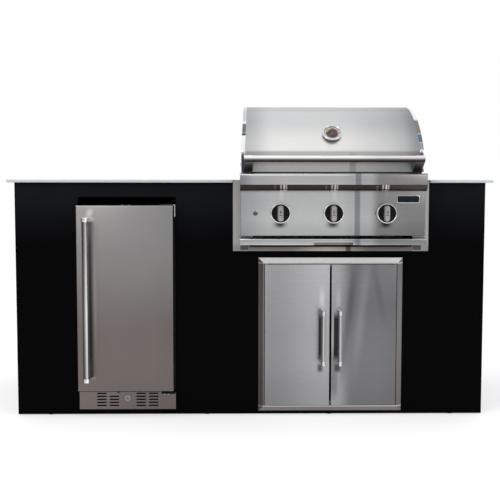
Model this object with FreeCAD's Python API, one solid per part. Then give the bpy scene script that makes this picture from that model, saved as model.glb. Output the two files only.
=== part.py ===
"""Outdoor kitchen island: a black panelled cabinet with a pale slab counter, a built-in gas
grill in a stainless liner, a compact refrigerator and a pair of access doors.

Millimetres, +Z up, +X to the right of someone who stands at the controls, -Y towards them.
The pieces are modelled with Y = 0 on the front panel's outer face, Z = 0 on the ground and
X = 0 on the island's middle. save() then moves them back, so that the part's own origin is
the middle of its footprint.
"""
import FreeCAD, Part
import math
import os
from FreeCAD import Vector

os.makedirs("parts", exist_ok=True)

AX, AY, AZ = Vector(1, 0, 0), Vector(0, 1, 0), Vector(0, 0, 1)

# Clearances
EASE = 0.3            # between pieces that must not rub
FIT = 0.05            # radial running fit of a pin in its hole
SLIP = 2.0            # between a built-in unit and its cut-out

# Cabinet
UNIT_PITCH = 793.5    # refrigerator's middle to the grill's
BODY_D = 762.0        # over the front and rear panels
SLAB_TOP = 927.0      # working height
SLAB_T = 11.0
OVERHANG = 25.0
LEVEL_H = 5.0         # height of the levelling pads
SHEET = 3.0           # cladding panels
ANGLE = 40.0          # flat leg of the base angle
ANGLE_UP = 20.0       # its upright leg, kept below the niche
ANGLE_T = 3.0
DECK_T = 2.0
TUBE = 30.0           # square frame tube
TUBE_T = 2.0
PAD_R = 14.0
STUD_IN = 28.0        # studs, behind the panel's face
STUD_R = 5.0
NUT_R = 8.5
NUT_H = 8.0
STUD_H = 25.0
VENT_W = 300.0
VENT_H = 110.0
VENT_LIP = 16.0
VENT_SHEET = 1.5
VENT_ROWS = 5
VENT_Z = 250.0
DECK_GAP = 1.0
HOSE_R = 14.0         # hole for the gas hose
HOSE_OFF = 247.5      # from the grill's middle
HOSE_Z = 120.0
GROMMET_LIP = 6.0
GROMMET_WALL = 3.0
GROMMET_LIP_T = 2.0

# Grill
GRILL_IN = 602.0      # grill's middle to the cabinet's right end
BOX_W = 625.0         # firebox
LINER_ROOM = 7.0      # firebox to liner, each side
LINER_D = 470.0
LINER_T = 1.5
LINER_FLOOR = 665.5   # underside of the liner
FLANGE_OUT = 62.0     # front flange, past the liner's inside
FLANGE_BOTTOM = 650.0
FLANGE_T = 2.0
FLANGE_STEP = 20.0    # top flange behind the liner
SLAB_GAP = 1.0        # slab to the liner's flange
BOX_FRONT = -45.0
BOX_BACK = 440.0
BOX_BOTTOM = 712.0
BOX_T = 2.0
RIM_TOP = 951.0
RIM_T = 1.5
RIM_OUT = 36.0        # past the firebox, each side
LIP_H = 7.5           # rain lip on the rim, inside the hood
LIP_GAP = 4.0         # to the hood's ends
LIP_BACK = 360.0      # side lips end ahead of the hinges
RIM_FRONT = -50.0
RIM_BACK = 452.0
DRAIN_W = 420.0
DRAIN_D = 260.0
LEDGE_W = 12.0
LEDGE_T = 2.0
RUNNER_IN = 15.0      # tray runners, from the tub's ends
RUNNER_LEG = 10.0
RUNNER_GAP = 1.0
BURNER_Z = 800.0
BURNER_R = 12.0
BURNER_WALL = 1.5
SHUTTER_W = 8.0       # air slot at the burner's mouth
SHUTTER_L = 20.0
SHUTTER_IN = 15.0
TENT_Z = 845.0
TENT_W = 110.0
TENT_H = 30.0
TENT_T = 1.5
GRATE_Z = 905.0       # underside of the grates
GRATE_ROD_R = 4.0
GRATE_RODS = 9
GRATE_GAP = 3.0
GRATE_COUNT = 3
GRATE_BAR_IN = 2.0
RACK_UP = 69.0        # above the rim
RACK_D = 130.0
RACK_RODS = 7
RACK_ROD_R = 3.0
RACK_OUT = 8.0        # past the tub, over its rim

# Control panel
NOSE_OUT = 42.0       # rounded top box, past the firebox
NOSE_FRONT = -106.0
NOSE_FOOT = 908.0     # where the front of the top box curls under
NOSE_R = 8.0
FACE_OUT = 38.5       # knob face, past the firebox
FACE_Y = -82.0
FACE_BOTTOM = 713.5
PANEL_T = 1.5
PANEL_BACK = -3.0
BRACKET_W = 47.0      # end brackets under the panel
BRACKET_FRONT = -78.0
BRACKET_BACK = -52.0
BRACKET_GAP = 1.2     # above the drip tray
KNOB_IN = 150.0       # outer knobs, from the face's ends
KNOB_Z = 800.0
KNOB_R = 37.5
KNOB_GAP = 4.5        # behind the skirt, more than the push
KNOB_PUSH = 3.0
KNOB_DEPTH = 24.0
KNOB_WALL = 3.0
KNOB_WEB = 3.0
KNOB_FACE_T = 2.0
GRIP_W = 24.0
GRIP_L = 62.0
GRIP_H = 12.0
HUB_R = 9.0
STEM_R = 4.0
STEM_HOLE_R = 6.0
STEM_OUT = 12.0       # into the knob's hub
VALVE_SOCKET = 20.0
VALVE_W = 28.0
VALVE_H = 30.0
VALVE_D = 27.0
PIPE_R = 10.5
PIPE_BACK = 4.0       # behind the valves' middle
PIPE_OUT = 60.0       # past the outer valves
NECK_R = 6.0
JET_IN = 6.0
PIPE_Z = 765.0
JET_R = 4.0
IGNITER_IN = 55.5     # from the face's left end
IGNITER_R = 9.5
IGNITER_BARREL_R = 8.0
IGNITER_FLANGE = 2.5
IGNITER_L = 28.0
IGNITER_DEEP = 20.0   # button's bore behind the panel's face
IGNITER_NUT_R = 12.0
IGNITER_NUT_T = 5.0
BUTTON_R = 6.0
BUTTON_PROUD = 8.0
BUTTON_PUSH = 3.0

# Drip tray
TRAY_TOP = 703.0
TRAY_FOOT = 679.0
TRAY_FRONT = -100.0
TRAY_THICK = 12.0
TRAY_IN = 7.5         # tray pan, inside the firebox's sides
TRAY_BACK = 425.0
TRAY_WALL = 2.0
TRAY_LIP = 9.5
TRAY_RIM = 699.0
TRAY_FLOOR = 681.0
TRAY_LIP_IN = 25.0    # side lips start behind the front
RECESS_W = 148.0
RECESS_H = 10.0
RECESS_WEB = 2.0
RUNNER_T = 2.0

# Hood
HOOD_OUT = 36.5       # past the firebox, each side
HOOD_FRONT = -52.0
HOOD_GAP = 5.5        # hood's foot above the firebox's rim
HOOD_BAND = 78.5      # upright band below the crease
HOOD_RISE = 192.0     # crease to top
HOOD_LEAN = 24.35     # degrees from upright just above the crease
HOOD_BACK_R = 150.0
HOOD_BACK_TURN = 65.0
HOOD_TAIL_UP = 27.0   # tail above the rim
HOOD_TAIL_Y = 425.0
HOOD_SKIN = 1.5
HOOD_TRIM = 14.0      # polished band at each end
HOOD_TRIM_T = 1.0
HOOD_TAPER_UP = 21.0  # ends lean in from this far above the crease
HOOD_TAPER = 0.0565
PIVOT_Y = 432.0
PIVOT_UP = 47.0       # above the rim
PIVOT_R = 4.0
PIVOT_HEAD_R = 7.0
PIVOT_HEAD_T = 1.0
HINGE_CLEAR = 45.0    # ahead of the pivot, past what the hood's tail sweeps
HINGE_T = 3.0
HINGE_IN = 1.0        # plate to the inside of the hood's end
HINGE_EYE_R = 8.0
HINGE_LIFT = 3.0      # arm's underside rises forwards, clear of the hood's tail
HINGE_FOOT = 17.0
BAR_Y = -115.0
BAR_UP = 48.0         # above the hood's foot
BAR_R = 12.5
BAR_IN = 9.5          # bar's ends, inside the hood's ends
COLLAR_R = 13.5
COLLAR_W = 34.0
BAR_WALL = 1.5
ARM_FOOT = 0.5        # arm's foot above the hood's edge
BUMPER_IN = 14.0      # rubber pads under the hood's front corners, from its ends
BUMPER_W = 30.0
BUMPER_OUT = 4.0      # ahead of the hood's front
BUMPER_D = 9.0
GAUGE_UP = 64.0       # above the crease
GAUGE_R = 35.5
GAUGE_H = 18.0
GAUGE_WALL = 4.0
GAUGE_FLOOR = 11.0
LENS_T = 1.5
LENS_FOOT = 14.5
NEEDLE_L = 22.0
NEEDLE_W = 3.0
NEEDLE_T = 0.6
NEEDLE_TIP = 0.8
NEEDLE_TAIL = 6.0
NEEDLE_HUB_R = 3.0
NEEDLE_HUB_T = 1.6
SPINDLE_R = 1.0
SPINDLE_L = 6.0
NEEDLE_REST = 135.0   # degrees anticlockwise from upright when cold
PROBE_R = 3.0
PROBE_L = 60.0

# Refrigerator
COOL_IN = 433.5       # cabinet's left end to the unit's middle
COOL_W = 376.0
COOL_D = 560.0
COOL_FOOT = 30.0
COOL_TOP = 829.0
COOL_WALL = 30.0
COOL_FLOOR = 135.0    # inside, at the door
STEP_Z = 320.0        # inside, above the compressor
STEP_Y = 370.0
ENGINE_TOP = 290.0
ENGINE_Y = 400.0
ENGINE_WALL = 2.0
COOL_FOOT_IN = 30.0
COOL_FOOT_Y = (50.0, 520.0)
COOL_PAD_R = 14.0
COOL_PAD_T = 6.0
COOL_SCREW_R = 4.0
POT_R = 60.0          # compressor
POT_H = 120.0
POT_DX = 60.0
FAN_R = 60.0
FAN_WALL = 6.0
FAN_D = 30.0
FAN_HUB_R = 18.0
FAN_DX = -90.0
FAN_BASE = 8.0
FAN_STRUT = 8.0
PLATE_IN = 20.0       # cold plate, from the cavity's sides
PLATE_T = 6.0
NICHE_W = 380.0
NICHE_TOP = 860.0
NICHE_FOOT = 27.0
NICHE_R = 6.0
DOOR_OUT = 1.0        # door past the cabinet at its left
DOOR_IN = 7.5         # and short of it at its right
DOOR_FRONT = -45.0
DOOR_FOOT = 107.0
DOOR_TOP = 827.0
GASKET = 10.0
GASKET_W = 14.0
GASKET_IN = 12.0
COOL_PIN_IN = 15.0    # pins, from the cabinet's right side
COOL_PIN_Y = -28.0
COOL_PIN_R = 4.0
COOL_PIN_L = 14.0
HINGE_PLATE = 3.0
HINGE_REACH = 55.0    # along the door's head
HINGE_EDGE = 10.0     # plate ahead of the pin
HINGE_BACK = 40.0
TAB_W = 4.0
TAB_H = 45.0
TAB_OUT = 8.0
WASHER_R = 7.0
HINGE_LIP = 9.0       # front lip turned down from the foot plate
STOP_BLOCK_W = 10.0   # block under the door, beside the lock
STOP_BLOCK_IN = 36.0  # from the lock's axis
STOP_BLOCK_T = 5.0
STOP_BLOCK_FOOT = 96.0
PULL_IN = 38.0        # bar's axis, from the cabinet's left side
PULL_Y = -89.0
PULL_R = 10.75
PULL_FOOT = 150.0
PULL_TOP = 782.0
PULL_END = 15.0
PULL_CAP = 2.0        # end brackets, outside the bar
KICK_Y = -22.0
KICK_FOOT = 30.0
KICK_TOP = 99.4
KICK_T = 1.5
SLOT_W = 37.5
SLOT_H = 5.5
SLOT_PITCH = 12.0
SLOT_Z = 92.8
SLOT_ROWS = 5
SLOT_OFF = (-101.5, -52.5, 52.0, 101.0)
LOCK_Z = 74.0
LOCK_R = 10.0
PLUG_R = 7.0
LOCK_FLANGE = 2.0
LOCK_WALL_R = 8.5
LOCK_L = 6.0
KEY_W = 1.2
KEY_H = 7.0
KEY_D = 5.0
CAM_ROOM = 3.0        # pocket round the cam
LOCK_CAM = 40.0
CAM_W = 8.0
CAM_T = 2.5
SHELF_Z = (330.0, 480.0, 630.0)
SHELF_T = 5.0
SHELF_FRONT = 30.0
SHELF_BACK = 12.0     # short of the back wall
RIB = 8.0             # shelf ribs on the side walls
DOOR_LINER_T = 12.0
DOOR_EDGE_R = 1.5
DOOR_LINER_IN = 10.0  # inside the cavity's mouth
SCOOP_IN = 25.0
SCOOP_WEB = 4.0

# Access doors
STORE_W = 564.0
STORE_FOOT = 18.0
STORE_TOP = 624.0
TRIM_W = 22.0
TRIM_BEVEL = 18.0
TRIM_H = 14.0
TRIM_EDGE = 1.5
JAMB_T = 1.5
JAMB_BACK = 40.0
LEAF_Y = -16.0
LEAF_T = 20.0
LEAF_SHEET = 1.2
LEAF_GAP = 2.3
LEAF_TOP_GAP = 3.5
LEAF_FOOT_GAP = 1.5
MEET_GAP = 7.0
LEAF_PIN_IN = 8.0
LEAF_PIN_Y = 5.0
LEAF_PIN_R = 2.5
LEAF_PIN_L = 8.0
LATCH_W = 30.0
LATCH_H = 12.0
LATCH_D = 10.0
STOP_H = 12.0
RIB_H = 14.0
PIN_ROOM = 4.0        # lower pins are this much shorter than their holes
SHOULDER = 2.0
STOP_IN = 35.0        # door stops start this far from the pins
GRIP_BAR_R = 8.0
GRIP_BAR_OFF = 32.5   # bar's axis from the middle of the pair
GRIP_BAR_Y = -64.0
GRIP_BAR_FOOT = 208.0
GRIP_BAR_TOP = 423.0
POST_R = 6.0
POST_IN = 8.0

# Where things follow from those
SLAB_FOOT = SLAB_TOP - SLAB_T
BODY_W = COOL_IN + UNIT_PITCH + GRILL_IN    # over the side panels
HALF_W = BODY_W / 2
GRILL_X = HALF_W - GRILL_IN
STORE_X = GRILL_X
HOSE_X = GRILL_X + HOSE_OFF
COOL_X = -HALF_W + COOL_IN
LINER_W = BOX_W + 2 * LINER_ROOM
FLANGE_W = LINER_W + 2 * FLANGE_OUT
RIM_W = BOX_W + 2 * RIM_OUT
NOSE_W = BOX_W + 2 * NOSE_OUT
FACE_W = BOX_W + 2 * FACE_OUT
HOOD_W = BOX_W + 2 * HOOD_OUT
BAR_LEN = HOOD_W - 2 * BAR_IN
TRAY_W = BOX_W - 2 * TRAY_IN
IGNITER_X = GRILL_X - FACE_W / 2 + IGNITER_IN
KNOB_PITCH = FACE_W / 2 - KNOB_IN
FRAME_IN = SHEET + ANGLE_T
BASE_TOP = LEVEL_H + ANGLE_T
DECK_TOP = BASE_TOP + DECK_T
FLANGE_L = GRILL_X - FLANGE_W / 2
FLANGE_R = GRILL_X + FLANGE_W / 2
COOL_L = COOL_X - COOL_W / 2
COOL_R = COOL_X + COOL_W / 2
DOOR_L = COOL_L - DOOR_OUT
DOOR_R = COOL_R - DOOR_IN
COOL_PIN_X = COOL_R - COOL_PIN_IN
PULL_X = COOL_L + PULL_IN
SLOT_X = [COOL_X + off for off in SLOT_OFF]
NICHE_L = COOL_X - NICHE_W / 2
NICHE_R_X = COOL_X + NICHE_W / 2
KNOB_X = (GRILL_X - KNOB_PITCH, GRILL_X, GRILL_X + KNOB_PITCH)
REACH = -(BAR_Y - COLLAR_R)
FOOTPRINT_Y = (BODY_D + OVERHANG - REACH) / 2
SIDES = (-1, 1)
VENT_Y = BODY_D / 2
BOX_L = GRILL_X - BOX_W / 2
BOX_R = GRILL_X + BOX_W / 2
VALVE_FRONT = FACE_Y + PANEL_T
VALVE_BACK = VALVE_FRONT + VALVE_D
STEM_FRONT = FACE_Y - KNOB_GAP - STEM_OUT
STEM_BACK = VALVE_FRONT + VALVE_SOCKET - KNOB_PUSH - EASE
HOOD_FOOT = RIM_TOP + HOOD_GAP
HOOD_CREASE = HOOD_FOOT + HOOD_BAND
HOOD_TOP = HOOD_CREASE + HOOD_RISE
HOOD_TAIL_Z = RIM_TOP + HOOD_TAIL_UP
HOOD_TAPER_Z = HOOD_CREASE + HOOD_TAPER_UP
PIVOT_Z = RIM_TOP + PIVOT_UP
BAR_Z = HOOD_FOOT + BAR_UP
GAUGE_Z = HOOD_CREASE + GAUGE_UP
RACK_Z = RIM_TOP + RACK_UP
LEAN = math.radians(HOOD_LEAN)
HOOD_R = (HOOD_TOP - HOOD_CREASE) / (1 - math.sin(LEAN))
GAUGE_TILT = math.asin(math.sin(LEAN) + (GAUGE_Z - HOOD_CREASE) / HOOD_R)
GAUGE_N = Vector(0, -math.cos(GAUGE_TILT), math.sin(GAUGE_TILT))
GAUGE_P = Vector(GRILL_X, HOOD_FRONT + HOOD_R * (math.cos(LEAN) - math.cos(GAUGE_TILT)), GAUGE_Z)
HINGE_X = HOOD_W / 2 - HOOD_SKIN - HINGE_IN
CAM_Y = KICK_Y + LOCK_L + EASE
STORE_L, STORE_R = STORE_X - STORE_W / 2, STORE_X + STORE_W / 2
HOLE_L, HOLE_R = STORE_L + TRIM_W, STORE_R - TRIM_W
HOLE_FOOT, HOLE_TOP = STORE_FOOT + TRIM_W, STORE_TOP - TRIM_W
LEAF_FOOT, LEAF_TOP = HOLE_FOOT + LEAF_FOOT_GAP, HOLE_TOP - LEAF_TOP_GAP
STOP_Y = LEAF_Y + LEAF_T + EASE
STOP_W = LEAF_TOP_GAP + STOP_H


def save(name, *solids):
    """One sub-part, moved so that the footprint's middle is the origin."""
    shape = solids[0] if len(solids) == 1 else Part.makeCompound(list(solids))
    shape = shape.copy()
    shape.translate(Vector(0, -FOOTPRINT_Y, 0))
    shape.exportStep("parts/%s.step" % name)


def box(x0, x1, y0, y1, z0, z1):
    return Part.makeBox(x1 - x0, y1 - y0, z1 - z0, Vector(x0, y0, z0))


def rod(x, y, z, radius, length, axis):
    return Part.makeCylinder(radius, length, Vector(x, y, z), axis)


def fuse(*shapes):
    return shapes[0].multiFuse(list(shapes[1:])).removeSplitter()


def cut(shape, *tools):
    for tool in tools:
        shape = shape.cut(tool)
    return shape


def prism_x(points, x0, x1):
    """A straight-edged outline of (y, z) points, carried along X."""
    wire = Part.makePolygon([Vector(x0, y, z) for y, z in points + points[:1]])
    return Part.Face(wire).extrude(Vector(x1 - x0, 0, 0))


def prism_y(points, y0, y1):
    """A straight-edged outline of (x, z) points, carried along Y."""
    wire = Part.makePolygon([Vector(x, y0, z) for x, z in points + points[:1]])
    return Part.Face(wire).extrude(Vector(0, y1 - y0, 0))


def prism_z(points, z0, z1):
    """A straight-edged outline of (x, y) points, carried along Z."""
    wire = Part.makePolygon([Vector(x, y, z0) for x, y in points + points[:1]])
    return Part.Face(wire).extrude(Vector(0, 0, z1 - z0))


def slot_y(x, z, width, height, y0, y1):
    """A round-ended slot that lies along X, cut through in Y."""
    r = height / 2
    run = width / 2 - r
    body = box(x - run, x + run, y0, y1, z - r, z + r)
    ends = [rod(x + s * run, y0, z, r, y1 - y0, AY) for s in SIDES]
    return fuse(body, *ends)


def tube(axis, x, y, z, length):
    """Square frame tube from its low corner (x, y, z), open at both ends."""
    size = {"x": (length, TUBE, TUBE), "y": (TUBE, length, TUBE), "z": (TUBE, TUBE, length)}[axis]
    wall = {"x": (0, TUBE_T, TUBE_T), "y": (TUBE_T, 0, TUBE_T), "z": (TUBE_T, TUBE_T, 0)}[axis]
    outer = box(x, x + size[0], y, y + size[1], z, z + size[2])
    bore = box(x + wall[0], x + size[0] - wall[0], y + wall[1], y + size[1] - wall[1],
               z + wall[2], z + size[2] - wall[2])
    return outer.cut(bore)


# Frame stations along X: the left edge of each upright, and what each one carries
END_L = -HALF_W + FRAME_IN
END_R = HALF_W - FRAME_IN - TUBE
COOL_POST_L = NICHE_L - EASE - TUBE
COOL_POST_R = NICHE_R_X + EASE
GRILL_POST_L = FLANGE_L - TUBE / 2
GRILL_POST_R = FLANGE_R - TUBE / 2
STATIONS = (END_L, COOL_POST_L, COOL_POST_R, GRILL_POST_L, GRILL_POST_R, END_R)
FRONT_Y = FRAME_IN
REAR_Y = BODY_D - FRAME_IN - TUBE
SILL_Z = LINER_FLOOR - TUBE


def levelling_feet():
    """Pads with a stud through the base angle and a nut on top of its leg, none in the niche."""
    feet = []
    bays = list(zip(STATIONS, STATIONS[1:]))
    for x in [(left + TUBE + right) / 2 for left, right in bays[:1] + bays[2:]]:
        for y in (STUD_IN, BODY_D - STUD_IN):
            pad = rod(x, y, 0, PAD_R, LEVEL_H, AZ)
            stud = rod(x, y, LEVEL_H, STUD_R, STUD_H, AZ)
            nut = rod(x, y, BASE_TOP, NUT_R, NUT_H, AZ)
            feet.append(fuse(pad, stud, nut))
    save("levelling_feet", *feet)
    return [(f.BoundBox.Center.x, f.BoundBox.Center.y) for f in feet]


def base_angles(feet):
    """Four lengths of angle: the low leg carries the frame, the upright one the panels."""
    low_y, high_y = SHEET, BODY_D - SHEET
    low_x, high_x = -HALF_W + SHEET, HALF_W - SHEET
    legs = []
    for y0, y1, w0, w1 in ((low_y, low_y + ANGLE, low_y, low_y + ANGLE_T),
                           (high_y - ANGLE, high_y, high_y - ANGLE_T, high_y)):
        flat = box(low_x, high_x, y0, y1, LEVEL_H, BASE_TOP)
        wall = box(low_x, high_x, w0, w1, BASE_TOP, LEVEL_H + ANGLE_UP)
        legs.append(fuse(flat, wall))
    for x0, x1, w0, w1 in ((low_x, low_x + ANGLE, low_x, low_x + ANGLE_T),
                           (high_x - ANGLE, high_x, high_x - ANGLE_T, high_x)):
        flat = box(x0, x1, low_y + ANGLE, high_y - ANGLE, LEVEL_H, BASE_TOP)
        wall = box(w0, w1, low_y + ANGLE, high_y - ANGLE, BASE_TOP, LEVEL_H + ANGLE_UP)
        legs.append(fuse(flat, wall))
    holes = [rod(x, y, LEVEL_H - 1, STUD_R + FIT, ANGLE_T + 2, AZ) for x, y in feet]
    return [cut(leg, *holes) for leg in legs]


def floor_deck():
    edge = FRAME_IN + TUBE + DECK_GAP
    save("floor_deck", box(-HALF_W + edge, HALF_W - edge, edge, BODY_D - edge, BASE_TOP, DECK_TOP))


def frame_posts():
    high = SLAB_FOOT - BASE_TOP
    return [tube("z", x, y, BASE_TOP, high) for x in STATIONS for y in (FRONT_Y, REAR_Y)]


def depth_rails():
    """From front post to rear post: top and foot of each pair, and the liner's sills."""
    run = REAR_Y - FRONT_Y - TUBE
    start = FRONT_Y + TUBE
    rails = [tube("y", x, start, z, run) for x in STATIONS for z in (DECK_TOP, SLAB_FOOT - TUBE)]
    return rails + [tube("y", x, start, SILL_Z, run) for x in (GRILL_POST_L, GRILL_POST_R)]


def long_rails():
    """Along X between neighbouring posts, none across the grill's own bay in front."""
    rails = []
    for left, right in zip(STATIONS, STATIONS[1:]):
        run = right - left - TUBE
        rails.append(tube("x", left + TUBE, REAR_Y, SLAB_FOOT - TUBE, run))
        if left != GRILL_POST_L:
            rails.append(tube("x", left + TUBE, FRONT_Y, SLAB_FOOT - TUBE, run))
    run = GRILL_POST_R - GRILL_POST_L - TUBE
    for y in (FRONT_Y, LINER_D - TUBE):
        rails.append(tube("x", GRILL_POST_L + TUBE, y, SILL_Z, run))
    return rails


def front_panel():
    """One folded sheet with the refrigerator's niche, the grill's notch and the store's hole."""
    panel = box(-HALF_W, HALF_W, 0, SHEET, LEVEL_H, SLAB_FOOT)
    niche = box(NICHE_L, NICHE_R_X, -1, SHEET + 1, NICHE_FOOT, NICHE_TOP)
    corners = [e for e in niche.Edges
               if e.BoundBox.YLength > SHEET and e.BoundBox.ZMin > NICHE_TOP - 1]
    niche = niche.makeFillet(NICHE_R, corners)
    half = LINER_W / 2 + LINER_T + SLIP
    notch = box(GRILL_X - half, GRILL_X + half, -1, SHEET + 1, LINER_FLOOR - SLIP, SLAB_TOP)
    jamb = STORE_W / 2 - TRIM_W + JAMB_T + SLIP
    store = box(STORE_X - jamb, STORE_X + jamb, -1, SHEET + 1,
                STORE_FOOT + TRIM_W - JAMB_T - SLIP, STORE_TOP - TRIM_W + JAMB_T + SLIP)
    save("front_panel", cut(panel, niche, notch, store))


def rear_panel():
    panel = box(-HALF_W, HALF_W, BODY_D - SHEET, BODY_D, LEVEL_H, SLAB_FOOT)
    hole = rod(HOSE_X, BODY_D - SHEET - 1, HOSE_Z, HOSE_R + GROMMET_WALL, SHEET + 2, AY)
    save("rear_panel", panel.cut(hole))


def gas_grommet():
    """Rubber ring with a lip on both faces of the rear panel."""
    r = HOSE_R + GROMMET_WALL
    neck = rod(HOSE_X, BODY_D - SHEET, HOSE_Z, r, SHEET, AY)
    lips = [rod(HOSE_X, y, HOSE_Z, r + GROMMET_LIP, GROMMET_LIP_T, AY)
            for y in (BODY_D - SHEET - GROMMET_LIP_T, BODY_D)]
    bore = rod(HOSE_X, BODY_D - SHEET - GROMMET_LIP_T - 1, HOSE_Z, HOSE_R,
               SHEET + 2 * GROMMET_LIP_T + 2, AY)
    save("gas_grommet", fuse(neck, *lips).cut(bore))


def side_panels():
    """Left and right cladding, each with a cut-out that its louvred vent covers."""
    hole = box(-HALF_W - 1, HALF_W + 1, VENT_Y - VENT_W / 2, VENT_Y + VENT_W / 2,
               VENT_Z - VENT_H / 2, VENT_Z + VENT_H / 2)
    left = box(-HALF_W, -HALF_W + SHEET, SHEET, BODY_D - SHEET, LEVEL_H, SLAB_FOOT)
    right = box(HALF_W - SHEET, HALF_W, SHEET, BODY_D - SHEET, LEVEL_H, SLAB_FOOT)
    save("side_panels", left.cut(hole), right.cut(hole))


def side_vents():
    """A sheet on each end panel with a row of slots, each under its own pressed louvre."""
    pitch = VENT_H / VENT_ROWS
    vents = []
    for side in SIDES:
        face = side * HALF_W
        near, far = sorted((face, face + side * VENT_SHEET))
        plate = box(near, far, VENT_Y - VENT_W / 2 - VENT_LIP, VENT_Y + VENT_W / 2 + VENT_LIP,
                    VENT_Z - VENT_H / 2 - VENT_LIP, VENT_Z + VENT_H / 2 + VENT_LIP)
        y0, y1 = VENT_Y - VENT_W / 2 + VENT_LIP, VENT_Y + VENT_W / 2 - VENT_LIP
        for row in range(VENT_ROWS):
            z = VENT_Z - VENT_H / 2 + (row + 0.5) * pitch
            slot = box(near - 1, far + 1, y0, y1, z - pitch / 4, z + pitch / 4)
            out = face + side * (VENT_SHEET + pitch / 3)
            blade = [(face, z + pitch / 4), (face + side * VENT_SHEET, z + pitch / 4), (out, z - pitch / 4),
                     (out - side * VENT_SHEET, z - pitch / 4)]
            plate = fuse(plate.cut(slot), prism_y(blade, y0, y1))
        vents.append(plate)
    save("side_vents", *vents)


def counter():
    """Slab in three pieces: one each side of the grill and a strip behind it."""
    y0, y1 = -OVERHANG, BODY_D + OVERHANG
    back = LINER_D + FLANGE_STEP + SLAB_GAP
    end_l, end_r = -HALF_W - OVERHANG, HALF_W + OVERHANG
    in_l, in_r = FLANGE_L - SLAB_GAP, FLANGE_R + SLAB_GAP
    save("counter_left", box(end_l, in_l, y0, y1, SLAB_FOOT, SLAB_TOP))
    save("counter_right", box(in_r, end_r, y0, y1, SLAB_FOOT, SLAB_TOP))
    save("counter_back", box(in_l + EASE, in_r - EASE, back, y1, SLAB_FOOT, SLAB_TOP))


def liner():
    """Insulated jacket: an open box hung on its folded top flange, with a front frame."""
    half = LINER_W / 2
    out = half + LINER_T
    top = SLAB_TOP
    shell = box(GRILL_X - out, GRILL_X + out, 0, LINER_D, LINER_FLOOR, top)
    room = box(GRILL_X - half, GRILL_X + half, -1, LINER_D - LINER_T, LINER_FLOOR + LINER_T, top + 1)
    shelf = box(FLANGE_L, FLANGE_R, 0, LINER_D + FLANGE_STEP, top - LINER_T, top)
    hems = [box(FLANGE_L, FLANGE_L + LINER_T, 0, LINER_D + FLANGE_STEP, SLAB_FOOT, top),
            box(FLANGE_R - LINER_T, FLANGE_R, 0, LINER_D + FLANGE_STEP, SLAB_FOOT, top),
            box(FLANGE_L, FLANGE_R, LINER_D + FLANGE_STEP - LINER_T, LINER_D + FLANGE_STEP,
                SLAB_FOOT, top)]
    save("liner_box", cut(fuse(shell, shelf, *hems), room))
    frame = box(FLANGE_L, FLANGE_R, -FLANGE_T, 0, FLANGE_BOTTOM, top)
    mouth = box(GRILL_X - half, GRILL_X + half, -FLANGE_T - 1, 1, LINER_FLOOR + LINER_T, top + 1)
    save("liner_flange", frame.cut(mouth))


def firebox():
    """Tub with a drain hole, a wide lipped rim that sits on the liner, ledges and tray runners."""
    tub = box(BOX_L, BOX_R, BOX_FRONT, BOX_BACK, BOX_BOTTOM, RIM_TOP)
    room = box(BOX_L + BOX_T, BOX_R - BOX_T, BOX_FRONT + BOX_T, BOX_BACK - BOX_T,
               BOX_BOTTOM + BOX_T, RIM_TOP + 1)
    rim_l, rim_r = GRILL_X - RIM_W / 2, GRILL_X + RIM_W / 2
    rim = box(rim_l, rim_r, RIM_FRONT, RIM_BACK, RIM_TOP - RIM_T, RIM_TOP)
    skirts = [box(rim_l, rim_l + RIM_T, RIM_FRONT, RIM_BACK, SLAB_TOP, RIM_TOP),
              box(rim_r - RIM_T, rim_r, RIM_FRONT, RIM_BACK, SLAB_TOP, RIM_TOP),
              box(rim_l, rim_r, RIM_BACK - RIM_T, RIM_BACK, SLAB_TOP, RIM_TOP)]
    drain_y = (BOX_FRONT + BOX_BACK) / 2
    drain = box(GRILL_X - DRAIN_W / 2, GRILL_X + DRAIN_W / 2, drain_y - DRAIN_D / 2,
                drain_y + DRAIN_D / 2, BOX_BOTTOM - 1, BOX_BOTTOM + BOX_T + 1)
    ledges = []
    for z in (GRATE_Z - LEDGE_T, TENT_Z - LEDGE_T):
        for y0 in (BOX_FRONT + BOX_T, BOX_BACK - BOX_T - LEDGE_W):
            ledges.append(box(BOX_L + BOX_T, BOX_R - BOX_T, y0, y0 + LEDGE_W, z, z + LEDGE_T))
    ports = [rod(x, BOX_FRONT - 1, BURNER_Z, BURNER_R + EASE, BOX_T + 2, AY) for x in KNOB_X]
    shell = cut(fuse(tub, rim, *skirts), room, drain, *ports)
    lip = HOOD_W / 2 - HOOD_SKIN - LIP_GAP
    lips = [box(GRILL_X - lip, GRILL_X + lip, BOX_FRONT, BOX_FRONT + RIM_T, RIM_TOP - RIM_T, RIM_TOP + LIP_H)]
    for x in (GRILL_X - lip, GRILL_X + lip - RIM_T):
        lips.append(box(x, x + RIM_T, BOX_FRONT, LIP_BACK, RIM_TOP - RIM_T, RIM_TOP + LIP_H))
    runners = []
    run = TRAY_W / 2 + TRAY_LIP + RUNNER_GAP
    for s in SIDES:
        web = sorted((GRILL_X + s * run, GRILL_X + s * (run + RUNNER_T)))
        leg = sorted((GRILL_X + s * run, GRILL_X + s * (run - RUNNER_LEG)))
        y0, y1 = BOX_FRONT + RUNNER_IN, BOX_BACK - RUNNER_IN
        low = TRAY_RIM - TRAY_WALL - EASE - RUNNER_T
        runners.append(box(web[0], web[1], y0, y1, low, BOX_BOTTOM + RUNNER_T))
        runners.append(box(min(web[0], leg[0]), max(web[1], leg[1]), y0, y1, low, low + RUNNER_T))
        hook = sorted((GRILL_X + s * BOX_W / 2, GRILL_X + s * (run + RUNNER_T)))
        runners.append(box(hook[0], hook[1], y0, y1, BOX_BOTTOM, BOX_BOTTOM + RUNNER_T))
    save("firebox", fuse(shell, *lips, *ledges, *runners))


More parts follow.
